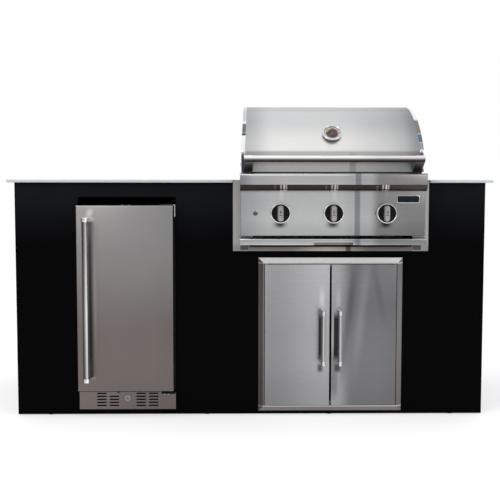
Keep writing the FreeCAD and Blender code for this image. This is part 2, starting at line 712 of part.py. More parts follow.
def burners():
    """Open tubes over the valve jets, closed at the back, with an air slot near the mouth."""
    tubes = []
    length = BOX_BACK - BOX_T - EASE - BOX_FRONT
    for x in KNOB_X:
        pipe = rod(x, BOX_FRONT, BURNER_Z, BURNER_R, length, AY)
        bore = rod(x, BOX_FRONT - 1, BURNER_Z, BURNER_R - BURNER_WALL, length - BURNER_WALL, AY)
        shutter = box(x - SHUTTER_W / 2, x + SHUTTER_W / 2, BOX_FRONT + SHUTTER_IN,
                      BOX_FRONT + SHUTTER_IN + SHUTTER_L, BURNER_Z, BURNER_Z + BURNER_R + 1)
        tubes.append(cut(pipe, bore, shutter))
    save("burners", *tubes)


def heat_tents():
    """Folded sheets over the burners, resting on the lower pair of ledges."""
    tents = []
    for x in KNOB_X:
        half = TENT_W / 2
        slope = math.atan2(TENT_H, half)
        outer = [(x - half, TENT_Z), (x, TENT_Z + TENT_H), (x + half, TENT_Z)]
        step = TENT_T / math.sin(slope)
        inner = [(x - half + step, TENT_Z), (x, TENT_Z + TENT_H - TENT_T / math.cos(slope)),
                 (x + half - step, TENT_Z)]
        y0, y1 = BOX_FRONT + BOX_T + EASE, BOX_BACK - BOX_T - EASE
        tents.append(prism_y(outer, y0, y1).cut(prism_y(inner, y0 - 1, y1 + 1)))
    save("heat_tents", *tents)


def grates():
    """Welded rod grates side by side on the upper pair of ledges."""
    inside = BOX_W - 2 * BOX_T
    each = (inside - (GRATE_COUNT + 1) * GRATE_GAP) / GRATE_COUNT
    y0, y1 = BOX_FRONT + BOX_T + EASE, BOX_BACK - BOX_T - EASE
    panels = []
    for n in range(GRATE_COUNT):
        left = BOX_L + BOX_T + GRATE_GAP + n * (each + GRATE_GAP)
        pitch = (each - 2 * GRATE_ROD_R) / (GRATE_RODS - 1)
        rods = [rod(left + GRATE_ROD_R + k * pitch, y0, GRATE_Z + GRATE_ROD_R, GRATE_ROD_R, y1 - y0, AY)
                for k in range(GRATE_RODS)]
        bars = [box(left, left + each, y, y + 2 * GRATE_ROD_R, GRATE_Z, GRATE_Z + GRATE_ROD_R)
                for y in (y0 + GRATE_BAR_IN, y1 - GRATE_BAR_IN - 2 * GRATE_ROD_R)]
        panels.append(fuse(*rods, *bars))
    save("grates", *panels)


def warming_rack():
    """Narrow rod rack across the tub, on legs that stand on the rim ahead of the hood's tail."""
    half = BOX_W / 2 + RACK_OUT
    y1 = PIVOT_Y - HINGE_CLEAR
    y0 = y1 - RACK_D
    pitch = RACK_D / (RACK_RODS - 1)
    rods = [rod(GRILL_X - half, y0 + k * pitch, RACK_Z, RACK_ROD_R, 2 * half, AX)
            for k in range(RACK_RODS)]
    r = RACK_ROD_R + 1
    sides = []
    for s in SIDES:
        x = GRILL_X + s * half
        sides.append(box(x - r, x + r, y0 - r, y1 + r, RACK_Z - r, RACK_Z + r))
        sides += [box(x - r, x + r, y - r, y + r, RIM_TOP, RACK_Z) for y in (y0, y1)]
    save("warming_rack", fuse(*sides, *rods))


def nose_outline(inset):
    """Side outline of the rounded top box: flat top, upright front, foot curled under."""
    curl = NOSE_FRONT - FACE_Y
    top, front, foot = RIM_TOP - inset, NOSE_FRONT + inset, NOSE_FOOT
    back = RIM_FRONT - EASE
    edge = NOSE_R - inset
    radius = -curl - inset
    centre = Vector(0, FACE_Y, foot)
    p = [Vector(0, back, top), Vector(0, front + edge, top), Vector(0, front, top - edge),
         Vector(0, front, foot), Vector(0, FACE_Y, foot - radius), Vector(0, back, foot - radius)]
    mid_edge = Vector(0, front + edge * (1 - math.sqrt(0.5)), top - edge * (1 - math.sqrt(0.5)))
    mid_curl = centre + Vector(0, -radius * math.sqrt(0.5), -radius * math.sqrt(0.5))
    edges = [Part.makeLine(p[0], p[1]), Part.Arc(p[1], mid_edge, p[2]).toShape(),
             Part.makeLine(p[2], p[3]), Part.Arc(p[3], mid_curl, p[4]).toShape(),
             Part.makeLine(p[4], p[5]), Part.makeLine(p[5], p[0])]
    return Part.Face(Part.Wire(edges))


def carry_x(face, x0, x1):
    face.translate(Vector(x0, 0, 0))
    return face.extrude(Vector(x1 - x0, 0, 0))


def control_panel():
    """One bent sheet: rounded top box, curled lip and knob face, closed at the ends, with a
    bracket under each end."""
    nose = NOSE_W / 2
    half = FACE_W / 2
    t = PANEL_T
    deep = SLAB_TOP - EASE
    outside = fuse(carry_x(nose_outline(0), GRILL_X - nose, GRILL_X + nose),
                   box(GRILL_X - half, GRILL_X + half, FACE_Y, RIM_FRONT - EASE, FACE_BOTTOM, NOSE_FOOT),
                   box(GRILL_X - half, GRILL_X + half, RIM_FRONT - EASE, PANEL_BACK, FACE_BOTTOM, deep))
    room = fuse(carry_x(nose_outline(t), GRILL_X - nose + t, GRILL_X + nose - t),
                box(GRILL_X - half + t, GRILL_X + half - t, FACE_Y + t, RIM_FRONT, FACE_BOTTOM + t,
                    NOSE_FOOT),
                box(GRILL_X - half + t, GRILL_X + half - t, FACE_Y + t, 0, FACE_BOTTOM + t, NOSE_FOOT),
                box(GRILL_X - half + t, GRILL_X + half - t, RIM_FRONT - 1, 0, NOSE_FOOT - 1, deep + 1))
    behind = box(GRILL_X - half + t, GRILL_X + half - t, BOX_FRONT - 2, 0, FACE_BOTTOM - 1, FACE_BOTTOM + t)
    sheet = cut(outside, room, behind)
    slots = [rod(x, FACE_Y - 1, KNOB_Z, STEM_HOLE_R, t + 2, AY) for x in KNOB_X]
    slots.append(rod(IGNITER_X, FACE_Y - 1, KNOB_Z, IGNITER_BARREL_R + EASE, t + 2, AY))
    brackets = []
    for s in SIDES:
        x0, x1 = sorted((GRILL_X + s * half, GRILL_X + s * (half - BRACKET_W)))
        brackets.append(box(x0, x1, BRACKET_FRONT, BRACKET_BACK, TRAY_TOP + BRACKET_GAP, FACE_BOTTOM))
    save("control_panel", fuse(cut(sheet, *slots), *brackets))


def gas_train():
    """Manifold pipe with a valve over it for each knob, and the jets that feed the burners."""
    pipe_y = VALVE_FRONT + VALVE_D / 2 + PIPE_BACK
    pipe = rod(KNOB_X[0] - PIPE_OUT, pipe_y, PIPE_Z, PIPE_R, KNOB_X[2] - KNOB_X[0] + 2 * PIPE_OUT, AX)
    valves = []
    for x in KNOB_X:
        block = box(x - VALVE_W / 2, x + VALVE_W / 2, VALVE_FRONT, VALVE_BACK,
                    KNOB_Z - VALVE_H / 2, KNOB_Z + VALVE_H / 2)
        neck = rod(x, pipe_y, PIPE_Z, NECK_R, KNOB_Z - PIPE_Z, AZ)
        jet = rod(x, VALVE_BACK, BURNER_Z, JET_R, BOX_FRONT - VALVE_BACK + JET_IN, AY)
        bore = rod(x, VALVE_FRONT - 1, KNOB_Z, STEM_R + FIT, VALVE_SOCKET + 1, AY)
        valves.append(cut(fuse(block, neck, jet), bore, pipe))
    save("gas_train", pipe, *valves)


def knobs():
    """Push-and-turn controls: stem, chromed skirt with its grip, and a black face insert."""
    back = FACE_Y - KNOB_GAP
    front = back - KNOB_DEPTH
    for name, x in zip(("left", "middle", "right"), KNOB_X):
        stem = rod(x, STEM_FRONT, KNOB_Z, STEM_R, STEM_BACK - STEM_FRONT, AY)
        save("valve_stem_%s" % name, stem)
        skirt = rod(x, front, KNOB_Z, KNOB_R, KNOB_DEPTH, AY)
        well = rod(x, front - 1, KNOB_Z, KNOB_R - KNOB_WALL, KNOB_FACE_T + 1, AY)
        web_back = front + KNOB_FACE_T + KNOB_WEB
        hollow = rod(x, web_back, KNOB_Z, KNOB_R - KNOB_WALL, back - web_back + 1, AY)
        hub = rod(x, web_back, KNOB_Z, HUB_R, back - web_back - 2, AY)
        grip_front = front + KNOB_FACE_T - GRIP_H
        grip = bar_z(x, KNOB_Z, GRIP_W, GRIP_L, grip_front, front + KNOB_FACE_T)
        bore = rod(x, STEM_FRONT - EASE, KNOB_Z, STEM_R + FIT, back - STEM_FRONT + 2, AY)
        save("knob_%s" % name, fuse(cut(skirt, well, hollow), hub, grip).cut(bore))
        face = rod(x, front, KNOB_Z, KNOB_R - KNOB_WALL - FIT, KNOB_FACE_T, AY)
        hole = bar_z(x, KNOB_Z, GRIP_W + 2 * FIT, GRIP_L + 2 * FIT, front - 1, front + KNOB_FACE_T + 1)
        save("knob_face_%s" % name, face.cut(hole))


def bar_z(x, z, width, height, y0, y1):
    """A bar seen from the front, upright, with rounded corners at both ends."""
    bar = box(x - width / 2, x + width / 2, y0, y1, z - height / 2, z + height / 2)
    corners = [e for e in bar.Edges if e.BoundBox.YLength > (y1 - y0) / 2]
    return bar.makeFillet(width * 0.45, corners)


def igniter():
    """Push button in a threaded barrel that is clamped to the panel by a nut."""
    flange = rod(IGNITER_X, FACE_Y - IGNITER_FLANGE, KNOB_Z, IGNITER_R, IGNITER_FLANGE, AY)
    barrel = rod(IGNITER_X, FACE_Y, KNOB_Z, IGNITER_BARREL_R, IGNITER_L, AY)
    nut = rod(IGNITER_X, FACE_Y + PANEL_T, KNOB_Z, IGNITER_NUT_R, IGNITER_NUT_T, AY)
    bore = rod(IGNITER_X, FACE_Y - IGNITER_FLANGE - 1, KNOB_Z, BUTTON_R + FIT,
               IGNITER_DEEP + IGNITER_FLANGE + 1, AY)
    save("igniter_body", fuse(flange, barrel, nut).cut(bore))
    front = FACE_Y - BUTTON_PROUD
    travel_end = FACE_Y + IGNITER_DEEP - BUTTON_PUSH - EASE
    save("igniter_button", rod(IGNITER_X, front, KNOB_Z, BUTTON_R, travel_end - front, AY))


def drip_tray():
    """Sheet pan with side lips on the runners and a thick front with a finger recess."""
    half = TRAY_W / 2
    pan = box(GRILL_X - half, GRILL_X + half, TRAY_FRONT + TRAY_THICK, TRAY_BACK, TRAY_FLOOR, TRAY_RIM)
    lips = box(GRILL_X - half - TRAY_LIP, GRILL_X + half + TRAY_LIP, TRAY_FRONT + TRAY_THICK + TRAY_LIP_IN,
               TRAY_BACK, TRAY_RIM - TRAY_WALL, TRAY_RIM)
    room = box(GRILL_X - half + TRAY_WALL, GRILL_X + half - TRAY_WALL, TRAY_FRONT + TRAY_THICK,
               TRAY_BACK - TRAY_WALL, TRAY_FLOOR + TRAY_WALL, TRAY_RIM + 1)
    save("drip_tray", fuse(pan, lips).cut(room))
    nose = NOSE_W / 2
    front = box(GRILL_X - nose, GRILL_X + nose, TRAY_FRONT, TRAY_FRONT + TRAY_THICK, TRAY_FOOT, TRAY_TOP)
    recess = box(GRILL_X - RECESS_W / 2, GRILL_X + RECESS_W / 2, TRAY_FRONT - 1,
                 TRAY_FRONT + TRAY_THICK - RECESS_WEB, TRAY_FOOT - 1, TRAY_FOOT + RECESS_H)
    save("drip_tray_front", front.cut(recess))


def arc_through(centre, radius, a0, a1):
    """Arc in the YZ plane between two angles, counted from +Y towards +Z."""
    spot = [centre + Vector(0, radius * math.cos(a), radius * math.sin(a))
            for a in (a0, (a0 + a1) / 2, a1)]
    return Part.Arc(*spot).toShape(), spot[0], spot[2]


def hood_outline(inset):
    """Side outline: upright band, a wide arc over the top, a tighter one, a sloping back."""
    low_y = HOOD_FRONT + inset
    top_c = Vector(0, HOOD_FRONT + HOOD_R * math.cos(LEAN), HOOD_TOP - HOOD_R)
    rise = math.pi - math.asin((HOOD_CREASE - top_c.z) / (HOOD_R - inset))
    over, _, apex = arc_through(top_c, HOOD_R - inset, rise, math.pi / 2)
    crease = over.valueAt(over.FirstParameter)
    crease_low = Vector(0, low_y, crease.z)
    back_c = Vector(0, top_c.y, HOOD_TOP - HOOD_BACK_R)
    turn = math.pi / 2 - math.radians(HOOD_BACK_TURN)
    behind, _, tip = arc_through(back_c, HOOD_BACK_R - inset, math.pi / 2, turn)
    slope = math.tan(math.radians(HOOD_BACK_TURN))
    tail = Vector(0, tip.y + (tip.z - HOOD_TAIL_Z) / slope, HOOD_TAIL_Z)
    p = [Vector(0, low_y, HOOD_FOOT), crease_low]
    edges = [Part.makeLine(p[0], p[1])]
    if (crease_low - crease).Length > 0.001:
        edges.append(Part.makeLine(crease_low, crease))
    edges += [over, behind, Part.makeLine(tip, tail),
              Part.makeLine(tail, Vector(0, HOOD_TAIL_Y, HOOD_FOOT)),
              Part.makeLine(Vector(0, HOOD_TAIL_Y, HOOD_FOOT), p[0])]
    return Part.Face(Part.Wire(Part.__sortEdges__(edges)))


def hood_block(inset, end):
    """The hood as a solid: its outline moved inwards by inset, its ends by end."""
    block = carry_x(hood_outline(inset), GRILL_X - HOOD_W / 2 - 5, GRILL_X + HOOD_W / 2 + 5)
    half = HOOD_W / 2 - end
    top = HOOD_TOP + 10
    lean = (top - HOOD_TAPER_Z) * HOOD_TAPER
    ends = [(GRILL_X - half, HOOD_FOOT - 1), (GRILL_X - half, HOOD_TAPER_Z),
            (GRILL_X - half + lean, top), (GRILL_X + half - lean, top),
            (GRILL_X + half, HOOD_TAPER_Z), (GRILL_X + half, HOOD_FOOT - 1)]
    return block.common(prism_y(ends, HOOD_FRONT - 10, 2 * HOOD_TAIL_Y))


def gauge_disc(radius, foot, height):
    return Part.makeCylinder(radius, height, GAUGE_P + GAUGE_N * foot, GAUGE_N)


def hood():
    """Bent skin between two polished end caps that lap over its edges."""
    skin = hood_block(0, HOOD_SKIN).cut(hood_block(HOOD_SKIN, -5))
    skin = cut(skin, box(GRILL_X - HOOD_W, GRILL_X + HOOD_W, HOOD_FRONT - 5, HOOD_TAIL_Y + 60,
                         HOOD_FOOT - 5, HOOD_FOOT + 0.01),
               gauge_disc(PROBE_R + EASE, -HOOD_SKIN * 4, HOOD_SKIN * 8),
               prism_x([(HOOD_TAIL_Y - 60, HOOD_FOOT - 2), (HOOD_TAIL_Y, HOOD_FOOT + HOOD_SKIN * 3),
                        (PIVOT_Y + 60, HOOD_TAIL_Z + HOOD_SKIN * 3), (PIVOT_Y + 60, HOOD_FOOT - 2)],
                       GRILL_X - HOOD_W, GRILL_X + HOOD_W))
    save("hood_skin", skin)
    inner = hood_block(0, HOOD_SKIN)
    lap = hood_block(-HOOD_TRIM_T, 0).cut(hood_block(-HOOD_TRIM_T, HOOD_TRIM))
    lap = cut(lap, inner, box(GRILL_X - HOOD_W, GRILL_X + HOOD_W, HOOD_FRONT + 5, HOOD_TAIL_Y + 90,
                              HOOD_FOOT - 5, HOOD_FOOT + 0.01))
    holes = rod(GRILL_X - HOOD_W, PIVOT_Y, PIVOT_Z, PIVOT_R + FIT, 2 * HOOD_W, AX)
    save("hood_ends", *lap.cut(holes).Solids)


def hood_bumpers():
    """Rubber pads on the top box and rim, under the hood's front corners."""
    pads = []
    y0 = HOOD_FRONT - BUMPER_OUT
    for s in SIDES:
        x0, x1 = sorted((GRILL_X + s * (HOOD_W / 2 - BUMPER_IN), GRILL_X + s * (HOOD_W / 2 - BUMPER_IN - BUMPER_W)))
        pads.append(box(x0, x1, y0, y0 + BUMPER_D, RIM_TOP, HOOD_FOOT - EASE))
    save("hood_bumpers", *pads)


def hood_hinges():
    """Cranked plates on the rim inside the hood's ends, each with a headed pivot pin."""
    solids = []
    for s in SIDES:
        near, far = sorted((GRILL_X + s * (HINGE_X - HINGE_T), GRILL_X + s * HINGE_X))
        fore = PIVOT_Y - HINGE_CLEAR
        low, high = PIVOT_Z - HINGE_EYE_R, PIVOT_Z + HINGE_EYE_R
        crank = prism_x([(fore - HINGE_FOOT, RIM_TOP), (fore, RIM_TOP), (fore, PIVOT_Z + HINGE_LIFT), (PIVOT_Y, low),
                         (PIVOT_Y, high), (fore - HINGE_FOOT, high)], near, far)
        eye = rod(near, PIVOT_Y, PIVOT_Z, HINGE_EYE_R, far - near, AX)
        end = HOOD_W / 2 + HOOD_TRIM_T + EASE
        a, b = sorted((GRILL_X + s * (HINGE_X - HINGE_T), GRILL_X + s * (end + PIVOT_HEAD_T)))
        pin = rod(a, PIVOT_Y, PIVOT_Z, PIVOT_R, b - a, AX)
        h0, h1 = sorted((GRILL_X + s * end, GRILL_X + s * (end + PIVOT_HEAD_T)))
        head = rod(h0, PIVOT_Y, PIVOT_Z, PIVOT_HEAD_R, h1 - h0, AX)
        solids.append(fuse(crank, eye, pin, head))
    save("hood_hinges", *solids)


def hood_handle():
    """Long tube between two collars, each carried off the upright band by a sloping arm."""
    tube_l = GRILL_X - BAR_LEN / 2
    bar = rod(tube_l + COLLAR_W / 2, BAR_Y, BAR_Z, BAR_R, BAR_LEN - COLLAR_W, AX)
    bore = rod(tube_l - 1, BAR_Y, BAR_Z, BAR_R - BAR_WALL, BAR_LEN + 2, AX)
    arms = []
    for x in (tube_l, tube_l + BAR_LEN - COLLAR_W):
        collar = rod(x, BAR_Y, BAR_Z, COLLAR_R, COLLAR_W, AX)
        seat = HOOD_FRONT - (HOOD_TRIM_T if HOOD_W / 2 - BAR_LEN / 2 < HOOD_TRIM else 0)
        arm = prism_x([(BAR_Y, BAR_Z - COLLAR_R * 0.99), (BAR_Y + COLLAR_R * 0.7, BAR_Z + COLLAR_R * 0.6),
                       (seat, BAR_Z + BAR_R / 2), (seat, HOOD_FOOT + ARM_FOOT)], x, x + COLLAR_W)
        keep = hood_block(-HOOD_TRIM_T, 0).cut(hood_block(-HOOD_TRIM_T, HOOD_TRIM))
        arms.append(cut(fuse(collar, arm), bar, keep))
    save("hood_handle", bar.cut(bore), *arms)


def thermometer():
    """Round case on the slope of the hood with a probe behind, a needle and a glass."""
    case = gauge_disc(GAUGE_R, 0, GAUGE_H)
    well = gauge_disc(GAUGE_R - GAUGE_WALL, GAUGE_FLOOR, GAUGE_H)
    seat = gauge_disc(GAUGE_R - GAUGE_WALL / 2, LENS_FOOT, GAUGE_H)
    spindle = gauge_disc(SPINDLE_R, GAUGE_FLOOR - SPINDLE_L / 2, SPINDLE_L)
    probe = gauge_disc(PROBE_R, -PROBE_L, PROBE_L + 1)
    save("thermometer_case", fuse(cut(case, well, seat), spindle, probe))
    save("thermometer_glass", gauge_disc(GAUGE_R - GAUGE_WALL / 2 - FIT, LENS_FOOT, LENS_T))
    hub = gauge_disc(NEEDLE_HUB_R, GAUGE_FLOOR + EASE, NEEDLE_HUB_T)
    along = Vector(0, GAUGE_N.z, -GAUGE_N.y)
    foot = GAUGE_P + GAUGE_N * (GAUGE_FLOOR + EASE + (NEEDLE_HUB_T - NEEDLE_T) / 2)
    tip = [foot - AX * (NEEDLE_W / 2) - along * NEEDLE_TAIL, foot + AX * (NEEDLE_W / 2) - along * NEEDLE_TAIL,
           foot + AX * (NEEDLE_TIP / 2) + along * NEEDLE_L, foot - AX * (NEEDLE_TIP / 2) + along * NEEDLE_L]
    hand = Part.Face(Part.makePolygon(tip + tip[:1])).extrude(GAUGE_N * NEEDLE_T)
    shape = fuse(hub, hand).cut(gauge_disc(SPINDLE_R + FIT, 0, GAUGE_H))
    shape.rotate(GAUGE_P, GAUGE_N, NEEDLE_REST)
    save("thermometer_needle", shape)


def fridge_cabinet():
    """Insulated box: a cavity in front, an open machine bay under and behind it."""
    outer = box(COOL_L, COOL_R, EASE, COOL_D, COOL_FOOT, COOL_TOP)
    w = COOL_WALL
    room = box(COOL_L + w, COOL_R - w, EASE - 1, COOL_D - w, STEP_Z, COOL_TOP - w)
    low = box(COOL_L + w, COOL_R - w, EASE - 1, STEP_Y, COOL_FLOOR, STEP_Z + 1)
    t = ENGINE_WALL
    under = box(COOL_L + t, COOL_R - t, -1, COOL_D + 1, COOL_FOOT + t, COOL_FLOOR - w)
    behind = box(COOL_L + t, COOL_R - t, ENGINE_Y, COOL_D + 1, COOL_FOOT + t, ENGINE_TOP)
    save("fridge_cabinet", cut(outer, room, low, under, behind))


def fridge_feet():
    feet = []
    for x in (COOL_L + COOL_FOOT_IN, COOL_R - COOL_FOOT_IN):
        for y in COOL_FOOT_Y:
            pad = rod(x, y, DECK_TOP, COOL_PAD_R, COOL_PAD_T, AZ)
            screw = rod(x, y, DECK_TOP + COOL_PAD_T, COOL_SCREW_R, COOL_FOOT - DECK_TOP - COOL_PAD_T, AZ)
            feet.append(fuse(pad, screw))
    save("fridge_feet", *feet)


def cooling_unit():
    """Compressor pot and fan on the base sheet, and the cold plate at the back of the cavity."""
    floor = COOL_FOOT + ENGINE_WALL
    x, y = COOL_X + POT_DX, COOL_D - POT_R - 20
    skirt = POT_H / 10
    pot = fuse(rod(x, y, floor + skirt, POT_R, POT_H, AZ), rod(x, y, floor, POT_R * 0.8, skirt, AZ),
               Part.makeSphere(POT_R * 0.6, Vector(x, y, floor + POT_H - skirt / 2)))
    fan_x = COOL_X + FAN_DX
    fan_z = floor + FAN_BASE + FAN_R
    ring = rod(fan_x, y - FAN_D / 2, fan_z, FAN_R, FAN_D, AY)
    hole = rod(fan_x, y - FAN_D, fan_z, FAN_R - FAN_WALL, 2 * FAN_D, AY)
    strut = FAN_STRUT / 2
    fan = fuse(box(fan_x - FAN_R, fan_x + FAN_R, y - 20, y + 20, floor, floor + FAN_BASE), ring.cut(hole),
               box(fan_x - strut, fan_x + strut, y - strut, y + strut, floor + FAN_WALL,
                   fan_z + FAN_R - FAN_WALL / 2),
               rod(fan_x, y - FAN_D / 2, fan_z, FAN_HUB_R, FAN_D, AY))
    back = COOL_D - COOL_WALL
    plate = box(COOL_L + COOL_WALL + PLATE_IN, COOL_R - COOL_WALL - PLATE_IN, back - PLATE_T, back,
                STEP_Z + 3 * PLATE_IN, COOL_TOP - COOL_WALL - 2 * PLATE_IN)
    save("cooling_unit", pot, fan, plate)


def fridge_shelves():
    """Glass shelves, each on ribs that stand out of the side walls."""
    side = COOL_WALL + EASE
    shelves = []
    for z in SHELF_Z:
        back = COOL_D - COOL_WALL - SHELF_BACK
        shelves.append(box(COOL_L + side, COOL_R - side, SHELF_FRONT, back, z, z + SHELF_T))
        for x in (COOL_L + COOL_WALL, COOL_R - COOL_WALL - RIB):
            shelves.append(box(x, x + RIB, SHELF_FRONT + RIB, back, z - RIB, z))
    save("fridge_shelves", *shelves)


def fridge_kick_plate():
    """Folded plinth: front sheet with louvre slots, a side return at each end."""
    t = KICK_T
    front = box(COOL_L, COOL_R, KICK_Y, KICK_Y + t, KICK_FOOT, KICK_TOP)
    ends = [box(x, x + t, KICK_Y, 0, KICK_FOOT, KICK_TOP) for x in (COOL_L, COOL_R - t)]
    slots = []
    for column, x in enumerate(SLOT_X):
        for row in range(SLOT_ROWS):
            if column == 1 and row == 0:
                continue
            slots.append(slot_y(x, SLOT_Z - row * SLOT_PITCH, SLOT_W, SLOT_H, KICK_Y - 1, KICK_Y + t + 1))
    lock = rod(COOL_X, KICK_Y - 1, LOCK_Z, LOCK_WALL_R, t + 2, AY)
    save("fridge_kick_plate", cut(fuse(front, *ends), lock, *slots))


def fridge_lock():
    """Barrel through the plinth, and a turning plug with a cam that rises into the door."""
    y0 = KICK_Y - LOCK_FLANGE
    barrel = fuse(rod(COOL_X, y0, LOCK_Z, LOCK_R, LOCK_FLANGE, AY),
                  rod(COOL_X, KICK_Y, LOCK_Z, LOCK_WALL_R, LOCK_L, AY))
    save("fridge_lock_barrel",
         barrel.cut(rod(COOL_X, y0 - 1, LOCK_Z, PLUG_R + FIT, LOCK_FLANGE + LOCK_L + 2, AY)))
    plug = rod(COOL_X, y0, LOCK_Z, PLUG_R, CAM_Y + CAM_T - y0, AY)
    cam = box(COOL_X, COOL_X + LOCK_CAM, CAM_Y, CAM_Y + CAM_T, LOCK_Z - CAM_W / 2, LOCK_Z + CAM_W / 2)
    key = box(COOL_X - KEY_W / 2, COOL_X + KEY_W / 2, y0 - 1, y0 + KEY_D, LOCK_Z - KEY_H / 2,
              LOCK_Z + KEY_H / 2)
    save("fridge_lock_plug", fuse(plug, cam).cut(key))


def fridge_door():
    """Foam-filled door with a raised inner panel, pin holes at its right and a cam pocket."""
    back = -GASKET
    slab = box(DOOR_L, DOOR_R, DOOR_FRONT, back, DOOR_FOOT, DOOR_TOP)
    corners = [e for e in slab.Edges if e.BoundBox.YMax < DOOR_FRONT + 1]
    slab = slab.makeFillet(DOOR_EDGE_R, corners)
    edge = COOL_WALL + DOOR_LINER_IN
    inner = box(COOL_L + edge, COOL_R - edge, back, back + DOOR_LINER_T + GASKET,
                COOL_FLOOR + DOOR_LINER_IN, COOL_TOP - edge)
    edge = COOL_WALL + SCOOP_IN
    scoop = box(COOL_L + edge, COOL_R - edge, back + SCOOP_WEB, DOOR_LINER_T + 1,
                COOL_FLOOR + SCOOP_IN, COOL_TOP - edge)
    holes = [rod(COOL_PIN_X, COOL_PIN_Y, z, COOL_PIN_R + FIT, COOL_PIN_L + EASE, AZ)
             for z in (DOOR_FOOT, DOOR_TOP - COOL_PIN_L - EASE)]
    sweep = math.sqrt(LOCK_CAM ** 2 - (DOOR_FOOT - LOCK_Z) ** 2)
    pocket = box(COOL_X - CAM_W, COOL_X + sweep + CAM_W, CAM_Y - CAM_ROOM, CAM_Y + CAM_T + CAM_ROOM, DOOR_FOOT,
                 LOCK_Z + LOCK_CAM + CAM_ROOM)
    save("fridge_door", cut(fuse(slab, inner.cut(scoop)), pocket, *holes))
    x0, x1 = COOL_L + GASKET_IN, COOL_R - GASKET_IN
    z0, z1 = COOL_FLOOR - COOL_WALL + GASKET_IN, COOL_TOP - GASKET_IN
    ring = box(x0, x1, back, 0, z0, z1)
    room = box(x0 + GASKET_W, x1 - GASKET_W, back - 1, 1, z0 + GASKET_W, z1 - GASKET_W)
    save("fridge_gasket", ring.cut(room))


def fridge_door_stop():
    """Block under the door that meets the plinth beside the lock."""
    x = COOL_X - STOP_BLOCK_IN
    back = KICK_Y - EASE
    save("fridge_door_stop", box(x - STOP_BLOCK_W / 2, x + STOP_BLOCK_W / 2, back - STOP_BLOCK_T, back,
                                 STOP_BLOCK_FOOT, DOOR_FOOT))


def fridge_hinges():
    """Top and foot plates off the cabinet, reaching over and under the door with a pin each."""
    x0 = COOL_R - HINGE_REACH
    y0 = COOL_PIN_Y - HINGE_EDGE
    top = box(x0, COOL_R, y0, HINGE_BACK, COOL_TOP, COOL_TOP + HINGE_PLATE)
    tab = box(COOL_R - TAB_W, COOL_R, -TAB_OUT, 0, COOL_TOP - TAB_H, COOL_TOP + HINGE_PLATE)
    pin = rod(COOL_PIN_X, COOL_PIN_Y, DOOR_TOP - COOL_PIN_L, COOL_PIN_R,
              COOL_TOP - DOOR_TOP + COOL_PIN_L + 1, AZ)
    foot_z = KICK_TOP + EASE
    foot = box(x0, COOL_R, y0, 0, foot_z, foot_z + HINGE_PLATE)
    heel = box(x0, COOL_R, EASE - HINGE_PLATE, EASE, foot_z, DOOR_FOOT - 1)
    low_pin = rod(COOL_PIN_X, COOL_PIN_Y, foot_z + 1, COOL_PIN_R,
                  DOOR_FOOT + COOL_PIN_L - foot_z - 1, AZ)
    washer = rod(COOL_PIN_X, COOL_PIN_Y, foot_z + 1, WASHER_R, DOOR_FOOT - EASE - foot_z - 1, AZ)
    lip = slot_y((x0 + COOL_R) / 2, foot_z + HINGE_PLATE - HINGE_LIP / 2, COOL_R - x0, HINGE_LIP, y0,
                 y0 + HINGE_PLATE)
    save("fridge_hinges", fuse(top, tab, pin), fuse(foot, lip, heel, low_pin, washer))


def fridge_handle():
    """Round bar between two flat end brackets that sweep back to the door face."""
    bar = rod(PULL_X, PULL_Y, PULL_FOOT + PULL_END, PULL_R, PULL_TOP - PULL_FOOT - 2 * PULL_END, AZ)
    r = PULL_R
    arm = [(PULL_X - r, PULL_Y), (PULL_X - r, DOOR_FRONT), (PULL_X + 1.9 * r, DOOR_FRONT),
           (PULL_X + 1.6 * r, DOOR_FRONT - 8), (PULL_X + r, PULL_Y)]
    ends = []
    for z in (PULL_FOOT, PULL_TOP - PULL_END):
        cap = rod(PULL_X, PULL_Y, z, r + PULL_CAP, PULL_END, AZ)
        ends.append(fuse(cap, prism_z(arm, z, z + PULL_END)))
    save("fridge_handle", fuse(bar, *ends))


def bevel_bar(length, point):
    """One mitred side of the trim, lying along +X from the origin, its outside edge at Z = 0."""
    outline = [(0, 0), (-TRIM_EDGE, 0), (-TRIM_H, TRIM_BEVEL), (-TRIM_H, TRIM_W), (0, TRIM_W)]
    bar = prism_x(outline, 0, length)
    miter = prism_y([(0, 0), (length, 0), (length - TRIM_W, TRIM_W), (TRIM_W, TRIM_W)], -TRIM_H - 1, 1)
    bar = bar.common(miter)
    origin, turn = point
    bar.rotate(Vector(0, 0, 0), AY, turn)
    bar.translate(Vector(origin[0], 0, origin[1]))
    return bar


def access_frame():
    """Bevelled picture-frame trim on a jamb box that lines the hole in the panel."""
    wide, high = STORE_W, STORE_TOP - STORE_FOOT
    bars = [bevel_bar(wide, ((STORE_L, STORE_FOOT), 0)),
            bevel_bar(high, ((STORE_R, STORE_FOOT), -90)),
            bevel_bar(wide, ((STORE_R, STORE_TOP), 180)),
            bevel_bar(high, ((STORE_L, STORE_TOP), 90))]
    lining = box(HOLE_L - JAMB_T, HOLE_R + JAMB_T, -1, JAMB_BACK, HOLE_FOOT - JAMB_T, HOLE_TOP + JAMB_T)
    room = box(HOLE_L, HOLE_R, -2, JAMB_BACK + 1, HOLE_FOOT, HOLE_TOP)
    x0, x1 = HOLE_L + STOP_IN, HOLE_R - STOP_IN
    stops = [box(x0, x1, STOP_Y, STOP_Y + JAMB_T, z, z + STOP_W) for z in (HOLE_FOOT, HOLE_TOP - STOP_W)]
    save("access_frame", fuse(*bars, lining.cut(room), *stops))


